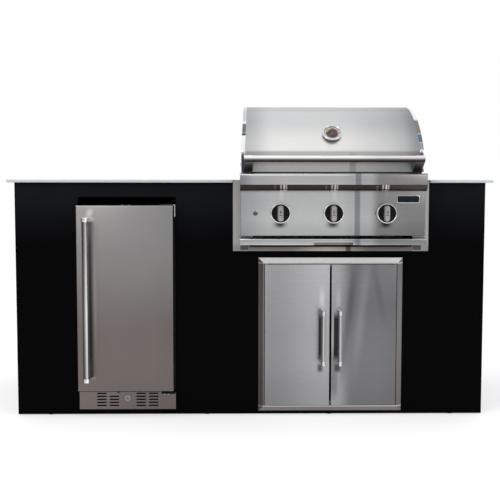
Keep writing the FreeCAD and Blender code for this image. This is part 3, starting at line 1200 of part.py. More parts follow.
def access_doors():
    """Two double-skinned leaves on pins, with a bar handle each."""
    y0, y1 = LEAF_Y, LEAF_Y + LEAF_T
    z0, z1 = LEAF_FOOT, LEAF_TOP
    for side, s in (("left", -1), ("right", 1)):
        outer = STORE_X + s * ((HOLE_R - HOLE_L) / 2 - LEAF_GAP)
        inner = STORE_X + s * MEET_GAP / 2
        a, b = sorted((outer, inner))
        leaf = box(a, b, y0, y1, z0, z1)
        t = LEAF_SHEET
        hollow = box(a + t, b - t, y0 + t, y1 - t, z0 + t, z1 - t)
        ribs = [box(a + t, b - t, y0 + t, y1 - t, z, z + RIB_H) for z in (z0 + t, z1 - t - RIB_H)]
        pin_x = outer - s * LEAF_PIN_IN
        pin_y = LEAF_Y + LEAF_PIN_Y
        holes = [rod(pin_x, pin_y, z, LEAF_PIN_R + FIT, LEAF_PIN_L + PIN_ROOM, AZ)
                 for z in (z0 - PIN_ROOM, z1 - LEAF_PIN_L)]
        leaf = fuse(leaf.cut(hollow), *ribs)
        save("access_door_%s" % side, cut(leaf, *holes))
        bar_x = STORE_X + s * GRIP_BAR_OFF
        bar = rod(bar_x, GRIP_BAR_Y, GRIP_BAR_FOOT, GRIP_BAR_R, GRIP_BAR_TOP - GRIP_BAR_FOOT, AZ)
        posts = [rod(bar_x, GRIP_BAR_Y, z, POST_R, LEAF_Y - GRIP_BAR_Y, AY)
                 for z in (GRIP_BAR_FOOT + POST_IN, GRIP_BAR_TOP - POST_IN)]
        save("access_handle_%s" % side, fuse(bar, *posts))


def access_pins():
    """Short pins with a shoulder in the head and sill, on which the leaves turn."""
    pins = []
    pin_y = LEAF_Y + LEAF_PIN_Y
    for s in SIDES:
        x = STORE_X + s * ((HOLE_R - HOLE_L) / 2 - LEAF_GAP - LEAF_PIN_IN)
        low = rod(x, pin_y, HOLE_FOOT, LEAF_PIN_R, LEAF_FOOT_GAP + LEAF_PIN_L - PIN_ROOM - EASE, AZ)
        low = fuse(low, rod(x, pin_y, HOLE_FOOT, LEAF_PIN_R + SHOULDER, LEAF_FOOT_GAP - EASE, AZ))
        high = rod(x, pin_y, LEAF_TOP - LEAF_PIN_L + EASE, LEAF_PIN_R, LEAF_TOP_GAP + LEAF_PIN_L - EASE, AZ)
        pins += [low, high]
    save("access_pins", *pins)


def access_catches():
    """Magnet catches on the head and sill behind the meeting edges."""
    x0, x1 = STORE_X - LATCH_W / 2, STORE_X + LATCH_W / 2
    solids = [box(x0, x1, STOP_Y, STOP_Y + LATCH_D, z, z + LATCH_H)
              for z in (HOLE_FOOT + STOP_W, HOLE_TOP - STOP_W - LATCH_H)]
    save("access_catches", *solids)


save("body_frame", *base_angles(levelling_feet()), *frame_posts(), *depth_rails(), *long_rails())
floor_deck()
front_panel()
rear_panel()
gas_grommet()
side_panels()
side_vents()
counter()
liner()
firebox()
burners()
heat_tents()
grates()
warming_rack()
control_panel()
gas_train()
knobs()
igniter()
drip_tray()
hood()
hood_bumpers()
hood_hinges()
hood_handle()
thermometer()
fridge_cabinet()
fridge_feet()
cooling_unit()
fridge_shelves()
fridge_kick_plate()
fridge_lock()
fridge_door()
fridge_door_stop()
fridge_hinges()
fridge_handle()
access_frame()
access_doors()
access_pins()
access_catches()
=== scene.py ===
"""The looks of an outdoor kitchen island: black panelled cabinet, pale slab, gas grill,
compact refrigerator and access doors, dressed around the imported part.

All sizes are in metres, in the part's own frame: X to the right, Y away from the person at the
controls, Z up. FRONT is the black front panel's outer face.
"""
import math

import bmesh
import bpy
import numpy as np
from mathutils import Matrix, Vector


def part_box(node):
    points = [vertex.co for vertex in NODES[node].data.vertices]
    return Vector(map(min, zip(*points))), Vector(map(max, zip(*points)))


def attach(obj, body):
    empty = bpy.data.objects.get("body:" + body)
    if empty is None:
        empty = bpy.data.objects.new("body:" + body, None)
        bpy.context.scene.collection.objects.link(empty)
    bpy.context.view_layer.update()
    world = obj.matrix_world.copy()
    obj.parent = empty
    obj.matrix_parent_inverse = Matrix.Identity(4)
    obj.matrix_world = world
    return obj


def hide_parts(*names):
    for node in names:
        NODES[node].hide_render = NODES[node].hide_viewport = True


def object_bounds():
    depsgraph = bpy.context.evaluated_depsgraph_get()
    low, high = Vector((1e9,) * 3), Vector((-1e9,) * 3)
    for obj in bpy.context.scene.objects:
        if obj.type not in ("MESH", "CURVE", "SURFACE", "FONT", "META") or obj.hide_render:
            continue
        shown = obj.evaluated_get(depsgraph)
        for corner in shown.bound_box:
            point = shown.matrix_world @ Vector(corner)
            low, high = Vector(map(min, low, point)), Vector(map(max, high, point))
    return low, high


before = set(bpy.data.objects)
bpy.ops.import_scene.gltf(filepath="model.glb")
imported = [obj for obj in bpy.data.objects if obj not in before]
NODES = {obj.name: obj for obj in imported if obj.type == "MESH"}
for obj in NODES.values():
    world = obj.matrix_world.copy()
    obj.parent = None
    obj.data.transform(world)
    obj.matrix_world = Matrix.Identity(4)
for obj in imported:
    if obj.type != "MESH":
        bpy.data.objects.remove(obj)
CAD_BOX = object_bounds()

FRONT = -0.32925
UP = np.array([0.0, 0.0, 1.0])
ACROSS = np.array([1.0, 0.0, 0.0])
TOWARDS = np.array([0.0, -1.0, 0.0])
FAR = 1000.0                    # how far a tone reaches along an axis where it has no end
CORNER_STEPS = 5                # points on each rounded corner of an outline
SEAM, SLIVER = 2e-6, 1e-6       # closer points are joined, shorter edges are dropped


# ---------------------------------------------------------------- surfaces

def fold(nu, nv, loop_u=False, loop_v=False):
    """Quads over an nu by nv grid of points, counted row by row; loops join last to first."""
    i = np.arange(nu if loop_u else nu - 1)
    j = np.arange(nv if loop_v else nv - 1)
    a, b = np.meshgrid(i, j, indexing="ij")
    c, d = (a + 1) % nu, (b + 1) % nv
    return np.stack([a * nv + b, c * nv + b, c * nv + d, a * nv + d], -1).reshape(-1, 4)


def tube(loops):
    """Rows of points, each row a closed loop, as (vertices, faces) with both ends closed."""
    n, m = loops.shape[:2]
    ends = [list(range(m)), list(range((n - 1) * m, n * m))]
    return loops.reshape(-1, 3), fold(n, m, loop_v=True).tolist() + ends


def turned(centre, axis, profile, steps=48, ripple=None):
    """A profile turned round an axis: P = centre + h*axis + r*(cos a*e1 + sin a*e2), with
    (r, h) from the profile's rows. ripple(a) scales the radius, as for a milled edge."""
    axis = np.asarray(axis, float) / np.linalg.norm(axis)
    e1 = np.cross(axis, ACROSS if abs(axis[0]) < 0.9 else UP)
    e1 /= np.linalg.norm(e1)
    e2 = np.cross(axis, e1)
    a = np.linspace(0, 2 * np.pi, steps, endpoint=False)[:, None, None]
    profile = np.asarray(profile, float)
    r, h = profile[None, :, :1], profile[None, :, 1:]
    r = r * (1 if ripple is None else ripple(a))
    ring = np.cos(a) * e1 + np.sin(a) * e2
    points = np.asarray(centre, float) + h * axis + r * ring
    return points.reshape(-1, 3), fold(*points.shape[:2], loop_u=True).tolist()


def rod(centre, axis, radius, low, high, steps):
    """A plain cylinder from low to high along its axis."""
    return turned(centre, axis, [(0, low), (radius, low), (radius, high), (0, high)], steps)


def curve(a, c, b, t):
    """The quadratic curve from a to b, drawn towards c: (1-t)^2 a + 2t(1-t) c + t^2 b."""
    return (1 - t) ** 2 * a + 2 * t * (1 - t) * c + t ** 2 * b


def rounded(corners, radii):
    """A closed outline whose corners are replaced by curves, between the points that lie at
    each corner's radius along its two arms."""
    c = np.asarray(corners, float)
    before, after = np.roll(c, 1, 0) - c, np.roll(c, -1, 0) - c
    lb, la = np.linalg.norm(before, axis=1), np.linalg.norm(after, axis=1)
    reach = np.minimum(radii, 0.49 * np.minimum(lb, la))[:, None]
    a, b = c + before / lb[:, None] * reach, c + after / la[:, None] * reach
    t = np.linspace(0, 1, CORNER_STEPS)[None, :, None]
    return curve(a[:, None], c[:, None], b[:, None], t).reshape(-1, c.shape[1])


def carried(outline, along, low, high, rim=0.0):
    """A closed outline carried straight from low to high along "x" or "z". The outline's two
    columns are the other two axes in order. With a rim, the last bit at each end draws in
    towards the outline's middle by the same amount, as a rounded edge: stations at
    s = rim*(1-cos), with the outline scaled by 1 - rim*(1-sin)/half size."""
    o = np.asarray(outline, float)
    mid = (o.min(0) + o.max(0)) / 2
    half = np.maximum((o.max(0) - o.min(0)) / 2, 1e-6)
    if rim:
        q = np.linspace(0, np.pi / 2, 4)
        place = np.r_[low + rim * (1 - np.cos(q)), high - rim * (1 - np.cos(q[::-1]))]
        draw = np.r_[rim * (1 - np.sin(q)), rim * (1 - np.sin(q[::-1]))]
    else:
        place, draw = np.array([low, high], float), np.zeros(2)
    flat = mid + (o - mid)[None] * (1 - draw[:, None, None] / half)
    at = np.broadcast_to(place[:, None, None], flat.shape[:2] + (1,))
    return tube(np.concatenate((at, flat) if along == "x" else (flat, at), -1))


def soft_box(low, high, r=0.001, steps=3):
    """A box with rounded edges: a sphere of radius r, cut along its three middle planes and
    its eighths pulled apart to the box's corners. P = mid + sign*(half - r) + r*n."""
    low, high = np.asarray(low, float), np.asarray(high, float)
    mid, half = (low + high) / 2, (high - low) / 2
    r = min(r, half.min() * 0.98)
    q = np.arange(4).repeat(steps + 1)
    turn = (q + np.tile(np.linspace(0, 1, steps + 1), 4)) * np.pi / 2
    lift = np.r_[np.linspace(-np.pi / 2, 0, steps + 1), np.linspace(0, np.pi / 2, steps + 1)]
    n = np.stack([np.cos(lift)[:, None] * np.cos(turn), np.cos(lift)[:, None] * np.sin(turn),
            np.sin(lift)[:, None] * np.ones_like(turn)], -1)
    side = np.stack([np.where((q == 0) | (q == 3), 1, -1), np.where(q < 2, 1, -1)], -1)
    head = np.where(np.arange(len(lift)) <= steps, -1, 1)[:, None, None]
    shape = n.shape[:2]
    sign = np.concatenate([np.broadcast_to(side, shape + (2,)),
            np.broadcast_to(head, shape + (1,))], -1)
    return tube(mid + sign * (half - r) + r * n)


def stadium(centre, length, width, levels, steps=48):
    """A long upright round-ended button on the front: at each level (inset, height) the outline
    is a circle of radius width/2 - inset, split and moved apart by the run length - width."""
    side = np.cross(UP, TOWARDS)
    a = np.linspace(0, 2 * np.pi, steps, endpoint=False) + np.pi / steps
    run = (length - width) / 2 * np.sign(np.sin(a))
    rows = []
    for inset, height in levels:
        r = max(width / 2 - inset, 1e-5)
        flat = r * np.cos(a)[:, None] * side + (r * np.sin(a) + run)[:, None] * UP
        rows.append(centre + flat + height * TOWARDS)
    return tube(np.array(rows))


def merge(*parts):
    """Several (vertices, faces) pairs as one."""
    points, faces, base = [], [], 0
    for v, f in parts:
        points.append(v)
        faces += [[i + base for i in face] for face in f]
        base += len(v)
    return np.concatenate(points), faces


def placed(name, data):
    """A new object in the scene."""
    thing = bpy.data.objects.new(name, data)
    bpy.context.scene.collection.objects.link(thing)
    return thing


def piece(name, body, slot, material, *parts, stands_for=(), sharp=35):
    """Makes one dressed piece from surfaces, closes its seams, points its faces outwards and
    lets it ride on a body of the part."""
    points, faces = merge(*parts)
    mesh = bpy.data.meshes.new(name)
    mesh.from_pydata(points.tolist(), [], faces)
    work = bmesh.new()
    work.from_mesh(mesh)
    bmesh.ops.remove_doubles(work, verts=work.verts, dist=SEAM)
    bmesh.ops.dissolve_degenerate(work, edges=work.edges, dist=SLIVER)
    bmesh.ops.recalc_face_normals(work, faces=work.faces)
    work.to_mesh(mesh)
    work.free()
    mesh.shade_smooth()
    mesh.set_sharp_from_angle(angle=math.radians(sharp))
    thing = placed(name, mesh)
    mesh.materials.append(material)
    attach(thing, body)
    if stands_for:
        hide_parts(*stands_for)


def node_box(name):
    """A node's lowest corner, highest corner and middle, at rest."""
    low, high = (np.array(corner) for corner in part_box(name))
    return low, high, (low + high) / 2


# ---------------------------------------------------------------- shader nodes

def add(tree, kind, links=(), **settings):
    """One node, with its settings and the links or plain values into its sockets."""
    node = tree.nodes.new("ShaderNode" + kind)
    for key, value in settings.items():
        setattr(node, key, value)
    for socket, source in links:
        if isinstance(source, bpy.types.NodeSocket):
            tree.links.new(source, node.inputs[socket])
        else:
            node.inputs[socket].default_value = source
    return node


def feed(tree, node, **sources):
    """Links each source into the input of its name, where _ stands for a space."""
    for name, source in sources.items():
        tree.links.new(source, node.inputs[name.replace("_", " ")])


def here(tree, kind="Object"):
    return add(tree, "TexCoord").outputs[kind]


def number(tree, how, a, b):
    return add(tree, "Math", [(0, a), (1, b)], operation=how).outputs[0]


def vector(tree, how, a, b=(0, 0, 0)):
    node = add(tree, "VectorMath", [(0, a), (1, b)], operation=how)
    return node.outputs[1 if how == "DOT_PRODUCT" else 0]


def noise(tree, place, scale, detail=2.0, rough=0.5, twist=0.0):
    return add(tree, "TexNoise",
        [("Vector", place), ("Scale", scale), ("Detail", detail), ("Roughness", rough),
            ("Distortion", twist)]).outputs[0]


def bump(tree, depth, height):
    return add(tree, "Bump", [("Distance", depth), ("Height", height)]).outputs[0]


def ramp(tree, value, start=0.0, stop=1.0, low=0.0, high=1.0, how="SMOOTHSTEP"):
    """A value that goes from low to high as another goes from start to stop."""
    return add(tree, "MapRange", [(0, value), (1, start), (2, stop), (3, low), (4, high)],
        interpolation_type=how).outputs[0]


def spread(tree, mask, low, high):
    """A value that runs evenly from low to high as the mask goes from 0.3 to 0.7."""
    return ramp(tree, mask, 0.3, 0.7, low, high, "LINEAR")


def rgba(colour):
    """Four numbers from three, or from one for a grey."""
    return (*np.broadcast_to(colour, 3).tolist(), 1)


def blend(tree, a, b, share=1.0, how="MIX"):
    """Two colours mixed or multiplied. Each is a socket or a colour."""
    a, b = (c if isinstance(c, bpy.types.NodeSocket) else rgba(c) for c in (a, b))
    return add(tree, "Mix", [("Factor", share), (6, a), (7, b)], data_type="RGBA",
        blend_type=how).outputs[2]


# ---------------------------------------------------------------- shared effects

def effect(name, inputs, outputs):
    """An empty shader group with its named sockets, for an effect that several finishes use.
    Returns the group, what it is given and the node that its results go into."""
    group = bpy.data.node_groups.new(name, "ShaderNodeTree")
    kinds = {"f": "NodeSocketFloat", "v": "NodeSocketVector"}
    for label, kind, default in inputs:
        socket = group.interface.new_socket(label, in_out="INPUT", socket_type=kinds[kind])
        socket.default_value = default
    for label, kind in outputs:
        group.interface.new_socket(label, in_out="OUTPUT", socket_type=kinds[kind])
    given = group.nodes.new("NodeGroupInput").outputs
    return group, given, group.nodes.new("NodeGroupOutput")


def grain_group():
    """Fine brushed lines: noise stretched along the brushing, with broad slow clouds."""
    group, given, out = effect("brushed_grain",
        [("Lines", "v", (6.0, 900.0, 900.0)), ("Depth", "f", 2e-5), ("Cloud", "f", 3.0)],
        [("Shade", "f"), ("Cloud", "f"), ("Normal", "v")])
    place = here(group)
    lines = noise(group, vector(group, "MULTIPLY", place, given["Lines"]), 1.0, 3.0, 0.65)
    feed(group, out, Shade=lines, Cloud=noise(group, place, given["Cloud"]),
        Normal=bump(group, given["Depth"], lines))
    return group


def coat_group():
    """Sprayed coat: a fine pebbled skin, and a little dust in uneven clouds."""
    group, given, out = effect("sprayed_coat", [("Pebble", "f", 900.0), ("Depth", "f", 4e-5)],
        [("Dust", "f"), ("Normal", "v")])
    place = here(group)
    pebbles = noise(group, place, given["Pebble"])
    feed(group, out, Dust=noise(group, place, 7.0, 6.0, 0.7),
        Normal=bump(group, given["Depth"], pebbles))
    return group


def stone_group():
    """Honed slab: close speckle over soft clouds, with a few faint long veins."""
    group, given, out = effect("honed_stone", [("Speckle", "f", 420.0), ("Cloud", "f", 9.0)],
        [("Speckle", "f"), ("Cloud", "f"), ("Vein", "f"), ("Normal", "v")])
    place = here(group)
    speckle = noise(group, place, given["Speckle"], 4.0, 0.7)
    wave = noise(group, place, 2.3, 6.0, 0.55, 1.2)
    off = number(group, "ABSOLUTE", number(group, "SUBTRACT", wave, 0.5), 0.0)
    feed(group, out, Speckle=speckle, Cloud=noise(group, place, given["Cloud"], 5.0, 0.6),
        Vein=ramp(group, off, 0.0, 0.02, 1.0, 0.0, "LINEAR"), Normal=bump(group, 3e-5, speckle))
    return group


def run_group():
    """A soft run across the piece: 0 at From, 1 at To, smooth between, along the line that joins
    them. t = (P - From).(To - From) / |To - From|^2."""
    group, given, out = effect("soft_run", [("From", "v", (0, 0, 0)), ("To", "v", (0, 0, 1))],
        [("Mask", "f")])
    way = vector(group, "SUBTRACT", given["To"], given["From"])
    off = vector(group, "SUBTRACT", here(group), given["From"])
    t = number(group, "DIVIDE", vector(group, "DOT_PRODUCT", off, way),
        vector(group, "DOT_PRODUCT", way, way))
    feed(group, out, Mask=ramp(group, t))
    return group


def patch_group():
    """A soft box: 1 round its Centre, 0 from Reach away along any axis. Each axis gives the smooth
    step of 1 - |P - Centre| / Reach over its last Soft part, and the three are multiplied. With a
    Lean the box is slanted: its middle moves along X by Lean times the height over Centre."""
    group, given, out = effect("soft_patch",
        [("Centre", "v", (0, 0, 0)), ("Reach", "v", (1, 1, 1)), ("Soft", "f", 1.0),
            ("Lean", "v", (0, 0, 0))], [("Mask", "f"), ("Rest", "f")])
    off = vector(group, "SUBTRACT", here(group), given["Centre"])
    height = add(group, "SeparateXYZ", [(0, off)]).outputs[2]
    off = vector(group, "SUBTRACT", off, vector(group, "MULTIPLY", given["Lean"], height))
    part = vector(group, "ABSOLUTE", vector(group, "DIVIDE", off, given["Reach"]))
    split = add(group, "SeparateXYZ", [(0, part)]).outputs
    start = number(group, "SUBTRACT", 1.0, given["Soft"])
    x, y, z = (ramp(group, split[i], start, 1.0, 1.0, 0.0) for i in range(3))
    mask = number(group, "MULTIPLY", number(group, "MULTIPLY", x, y), z)
    feed(group, out, Mask=mask, Rest=number(group, "SUBTRACT", 1.0, mask))
    return group


def facing_group():
    """How far a surface faces one way: 0 where its normal's share of Way is below Start, 1 above
    Stop."""
    group, given, out = effect("facing",
        [("Way", "v", (0, 0, -1)), ("Start", "f", -0.3), ("Stop", "f", 0.4)], [("Mask", "f")])
    share = vector(group, "DOT_PRODUCT", here(group, "Normal"), given["Way"])
    feed(group, out, Mask=ramp(group, share, given["Start"], given["Stop"]))
    return group


GRAIN, COAT, STONE = grain_group(), coat_group(), stone_group()
RUN, PATCH, FACING = run_group(), patch_group(), facing_group()


# ---------------------------------------------------------------- tones

# Tones multiply a finish's colour inside a mask; here nearly all of them are painted light, shade
# and reflections, the refrigerator case's two-tone paint aside.
def use(tree, group, **values):
    """A group's results in another tree, with its inputs set."""
    node = add(tree, "Group", values.items(), node_tree=group)
    return node.outputs


def toned(tree, base, tones):
    """Multiplies a colour by each tone in turn. A tone is (group, its values, colour where the
    mask is 1, the mask's name). The colour is one number for a grey."""
    for group, values, tint, output in tones:
        base = blend(tree, base, tint, use(tree, group, **values)[output], "MULTIPLY")
    return base


def down(high, low, tint):
    """A tone that comes in from one height down to another."""
    return RUN, {"From": (0, 0, high), "To": (0, 0, low)}, tint, "Mask"


def across(start, stop, tint):
    """A tone that comes in from one place along X to another."""
    return RUN, {"From": (start, 0, 0), "To": (stop, 0, 0)}, tint, "Mask"


def patch(tint, x=None, y=None, z=None, soft=1.0, lean=0.0, output="Mask"):
    """A tone inside a box; x, y and z are its (low, high) or left out where it has no end, and
    lean is how far it moves along X per unit of height."""
    spans = [(-FAR, FAR) if span is None else span for span in (x, y, z)]
    return PATCH, {"Centre": tuple((a + b) / 2 for a, b in spans), "Soft": soft,
        "Reach": tuple((b - a) / 2 for a, b in spans), "Lean": (lean, 0, 0)}, tint, output


def facing(way, start, stop, tint):
    """A tone on what faces one way."""
    return FACING, {"Way": way, "Start": start, "Stop": stop}, tint, "Mask"


# ---------------------------------------------------------------- finishes

# Brushed lines per metre along each axis: few along the brushing, many across it
ALONG_X, SHORT_X, UPRIGHT = (4.0, 1100.0, 1100.0), (5.0, 400.0, 400.0), (400.0, 400.0, 5.0)


def new_finish(name, **plain):
    """A material with a Principled shader whose plain values sit on its own sockets."""
    material = bpy.data.materials.new(name)
    material.use_nodes = True
    tree = material.node_tree
    shader = tree.nodes["Principled BSDF"]
    for socket, value in plain.items():
        shader.inputs[socket.replace("_", " ")].default_value = value
    return material, tree, shader


def two_tone(tree, mask, dark, light):
    """A colour between two, as the mask goes from 0.3 to 0.7."""
    return blend(tree, dark, light, spread(tree, mask, 0.0, 1.0))


def brushed(name, colour, rough, *tones, lines=ALONG_X, depth=1.4e-6, vary=0.014):
    """Brushed stainless: fine lines along X, slow clouds, and painted light, shade and reflections
    as its tones.
    """
    material, tree, shader = new_finish(name, Metallic=1.0)
    grain = use(tree, GRAIN, Lines=lines, Depth=depth)
    c = np.array(colour)
    base = two_tone(tree, grain["Shade"], c * (1 - vary), c * (1 + vary))
    cloud = spread(tree, grain["Cloud"], 0.96, 1.04)
    base = add(tree, "VectorMath", [(0, base), (3, cloud)], operation="SCALE").outputs[0]
    feed(tree, shader, Base_Color=toned(tree, base, tones), Normal=grain["Normal"],
        Roughness=spread(tree, grain["Shade"], rough - 0.03, rough + 0.04))
    return material


def polished(name, colour, rough, *tones):
    """Mirror steel with faint wipe marks, and painted light and shade as its tones."""
    material, tree, shader = new_finish(name, Metallic=1.0)
    grain = use(tree, GRAIN, Lines=(60.0, 60.0, 60.0), Depth=8e-7, Cloud=14.0)
    c = np.array(colour)
    base = two_tone(tree, grain["Cloud"], c * 0.95, c * 1.02)
    feed(tree, shader, Base_Color=toned(tree, base, tones), Normal=grain["Normal"],
        Roughness=spread(tree, grain["Cloud"], rough, rough + 0.05))
    return material


def sprayed(name, colour, light, rough, *tones, pebble=900.0, depth=4e-5, metallic=0.0, gloss=0.5):
    """Powder coat, moulded plastic or rubber: a pebbled skin with dust where it is rougher."""
    material, tree, shader = new_finish(name, Metallic=metallic, Specular_IOR_Level=gloss)
    coat = use(tree, COAT, Pebble=pebble, Depth=depth)
    base = two_tone(tree, coat["Dust"], colour, light)
    feed(tree, shader, Base_Color=toned(tree, base, tones), Normal=coat["Normal"],
        Roughness=spread(tree, coat["Dust"], rough - 0.04, rough + 0.08))
    return material


def sheet(name, colour, light, rough, *tones, pebble=180.0, depth=1e-5):
    """Bare or plated metal that isn't brushed."""
    return sprayed(name, colour, light, rough, *tones, pebble=pebble, depth=depth, metallic=1.0)


def slab_stone(name):
    """The counter's honed stone, with painted light that makes it a little lighter towards its
    right end.
    """
    material, tree, shader = new_finish(name, Specular_IOR_Level=0.45)
    stone = use(tree, STONE)
    base = two_tone(tree, stone["Cloud"], (0.5, 0.53, 0.57), (0.577, 0.607, 0.648))
    dots = two_tone(tree, stone["Speckle"], (0.8, 0.8, 0.81), 1.06)
    base = blend(tree, base, dots, 1.0, "MULTIPLY")
    base = blend(tree, base, (0.4, 0.41, 0.43), number(tree, "MULTIPLY", stone["Vein"], 0.22))
    feed(tree, shader, Base_Color=toned(tree, base, [across(-0.2, 0.6, 1.12)]),
        Roughness=spread(tree, stone["Speckle"], 0.34, 0.46), Normal=stone["Normal"])
    return material


def clear(name, tint):
    """Plain glass."""
    return new_finish(name, Transmission_Weight=1.0, IOR=1.45, Roughness=0.02,
        Base_Color=rgba(tint))[0]


KNOBS = (0.1115, 0.3125, 0.5135)
STEP = (0.335, 0.385)           # where painted shade makes the grill's steel a little darker, along X
RIBBON = (0.391, 0.418)         # a painted dark reflection that stands upright across its front
FADE = (0.45, 0.49)             # and where painted shade turns it darker for good
LOW, LEFT, RIGHT = (0.0, 0.0, -1.0), (-1.0, 0.0, 0.0), (1.0, 0.0, 0.0)
CREASE = 1.035                  # where the hood's upright band ends


def grill_shade_run(step, ribbon, fade):
    """The painted shade along the grill's front: a darker step, the upright dark reflection and the
    dark end.
    """
    return [across(*STEP, step), patch(ribbon, x=RIBBON, soft=0.45), across(*FADE, fade)]


# Painted reflections and shade on the hood: darker over the top, below the crease and low on the
# band, darker towards both ends, and a dark upright reflection on the band.
STEEL_HOOD = brushed("brushed_hood", (0.78, 0.775, 0.765), 0.3, down(1.06, 1.16, (0.8, 0.81, 0.83)),
    across(0.3, 0.62, (0.7, 0.71, 0.72)), across(0.09, -0.02, (0.66, 0.67, 0.69)),
    across(0.52, 0.62, (0.84, 0.84, 0.85)), down(CREASE + 0.006, CREASE - 0.002, 0.76),
    down(1.02, 0.992, 0.86), patch(0.86, x=(0.44, 0.8), z=(0.9, CREASE), soft=0.5),
    patch(0.9, x=(-0.056, -0.016)), across(0.585, 0.645, 0.66), down(1.19, 1.212, 0.8),
    patch(0.72, x=(0.374, 0.404), z=(0.9, CREASE), soft=0.4))
STEEL_ENDS = brushed("brushed_ends", (0.5, 0.49, 0.48), 0.22)
# Painted shade on the handle tube's underside and towards its right end.
STEEL_TUBE = brushed("brushed_tube", (0.94, 0.94, 0.95), 0.16,
    facing(LOW, -0.38, 0.36, (0.055, 0.042, 0.036)), across(0.38, 0.5, (0.82, 0.8, 0.81)))
STEEL_ARM = brushed("brushed_arm", (0.26, 0.25, 0.245), 0.4)
# Painted shade and reflections along the top box, darker at both ends, a painted highlight along
# its rounded top edge and painted shade on its flat top.
STEEL_NOSE = brushed("brushed_nose", (0.56, 0.56, 0.565), 0.24,
    *grill_shade_run(0.88, (0.56, 0.57, 0.59), (0.56, 0.555, 0.56)), across(0.5, 0.66, (0.84, 0.8, 0.79)),
    across(0.14, 0.0, 0.86), across(0.02, -0.04, (0.6, 0.6, 0.62)),
    patch(1.35, x=(-0.3, 0.44), z=(0.94, 0.9485), soft=0.4), facing(UP, 0.85, 0.98, 0.5))
# On the panel round each knob: two painted shadows under it and a painted light over it, by x from
# its middle
KNOB_SHADE_AND_LIGHT = ((0.13, -0.036, 0.034, (0.738, 0.776)), (0.62, -0.022, 0.022, (0.735, 0.785)),
    (1.16, -0.01, 0.018, (0.835, 0.92)))
# Painted shade on the face: darker at both ends, lower down and in a band under the curl, with the
# knobs' painted shadows and lights.
STEEL_PANEL = brushed("brushed_panel", (0.56, 0.565, 0.57), 0.27,
    *grill_shade_run(0.86, (0.53, 0.545, 0.57), (0.53, 0.525, 0.53)),
    across(0.54, 0.62, (0.9, 0.88, 0.87)), across(0.1, -0.05, (0.68, 0.68, 0.69)),
    down(0.8, 0.715, 0.66), patch(0.82, z=(0.868, 0.93), soft=0.6),
    *[patch(tint, x=(x + start, x + stop), z=z) for tint, start, stop, z in KNOB_SHADE_AND_LIGHT
        for x in KNOBS], depth=1e-6, vary=0.01)
# Painted shade along the tray front, darker at its left end, with a painted highlight near its top
# edge.
STEEL_TRAY = brushed("brushed_tray", (0.455, 0.46, 0.47), 0.27,
    *grill_shade_run(0.8, (0.6, 0.61, 0.63), (0.66, 0.655, 0.66)), across(0.1, -0.05, 0.86),
    patch(1.5, z=(0.7005, 0.704), soft=0.5))


def curl_painted_highlights():
    """Narrow painted highlights across the curl over each knob: (x from the knob's middle, gain)
    each, moved a little to the left from knob to knob."""
    runs = ((0.0015, 10.0), (0.013, 15.0), (0.0215, 9.0), (-0.0205, 2.6))
    return [patch((gain, 1.05 * gain, 1.06 * gain),
            x=(x + moved + at - 0.0052, x + moved + at + 0.0052), soft=0.9)
        for x, moved in zip(KNOBS, (0.0, -0.0085, -0.0165)) for at, gain in runs]


# The curl is a dark copy of the steel for the shade and dark reflection under the top box, with a
# painted light band, lighter towards its right end, and painted highlights over the knobs.
STEEL_CURL = brushed("bright_curl", (0.034, 0.026, 0.023), 0.12, patch(1.9, z=(0.88, 0.892)),
    across(0.42, 0.64, (1.65, 1.72, 1.78)), *curl_painted_highlights(), depth=2e-6)
# The tray's recess lining is a darker copy of the steel for its shade, with a painted shadow along
# its foot and darker towards the right.
STEEL_RECESS = brushed("brushed_recess", (0.24, 0.215, 0.195), 0.3, down(0.6812, 0.6794, 0.03),
    across(*STEP, 0.6))
# Painted shade in the gap between the drip tray and the sill.
TRAY_GAP_SHADE = patch(0.04, x=(-0.007, 0.632), z=(0.665, 0.6735), soft=0.1)
# Painted shade on the liner flange: darker at both ends and towards its foot, and in the gap under
# the tray.
STEEL_JACKET = brushed("brushed_jacket", (0.44, 0.435, 0.43), 0.38, across(0.6, 0.66, 0.85),
    across(0.02, -0.03, 0.8), down(0.69, 0.66, 0.7), TRAY_GAP_SHADE)
# A darker copy of the steel for the shaded inside of the grill, with a painted shadow in the gap
# under the hood and in the gap under the tray.
STEEL_INSIDE = brushed("brushed_inside", (0.16, 0.155, 0.15), 0.42,
    patch(0.03, z=(0.9512, 0.96), soft=0.3), TRAY_GAP_SHADE)
# Painted light and shade on the sill: a lighter run, a dark upright reflection, a darker right end
# and painted shade along its top edge.
STEEL_SILL = brushed("brushed_sill", (0.17, 0.158, 0.15), 0.3, patch(2.1, x=(0.14, 0.46)),
    patch(0.28, x=(0.368, 0.394), soft=0.5), across(0.43, 0.47, (0.76, 0.75, 0.76)),
    down(0.6655, 0.6667, 0.15))
# Painted shade on the tray guides' ends, darker lower down.
STEEL_RAIL = brushed("brushed_rail", (0.095, 0.09, 0.086), 0.36, down(0.69, 0.676, 0.8))
# Painted light and shade on the refrigerator door: darker lower down and to the right, lighter near
# its foot, a dark right side, a little darker round the handle's head, and beside the handle its
# painted shadow, a painted light line and the bracket's painted reflection.
STEEL_COOLER = brushed("brushed_cooler", (0.31, 0.303, 0.302), 0.3,
    down(0.76, 0.32, (0.475, 0.42, 0.4)), across(-0.5, -0.66, (1.0, 0.985, 0.975)),
    down(0.3, 0.09, (1.1, 1.08, 1.06)), across(-0.4, -0.3, 0.94), facing(RIGHT, 0.75, 0.95, 0.03),
    patch((0.88, 0.89, 0.9), x=(-0.7, -0.58), z=(0.76, 0.9)),
    patch(0.5, x=(-0.626, -0.613), z=(0.15, 0.772), soft=0.35),
    patch(1.35, x=(-0.613, -0.592), z=(0.12, 0.77), soft=0.8),
    patch(1.75, x=(-0.638, -0.6), z=(0.77, 0.826), lean=0.25))
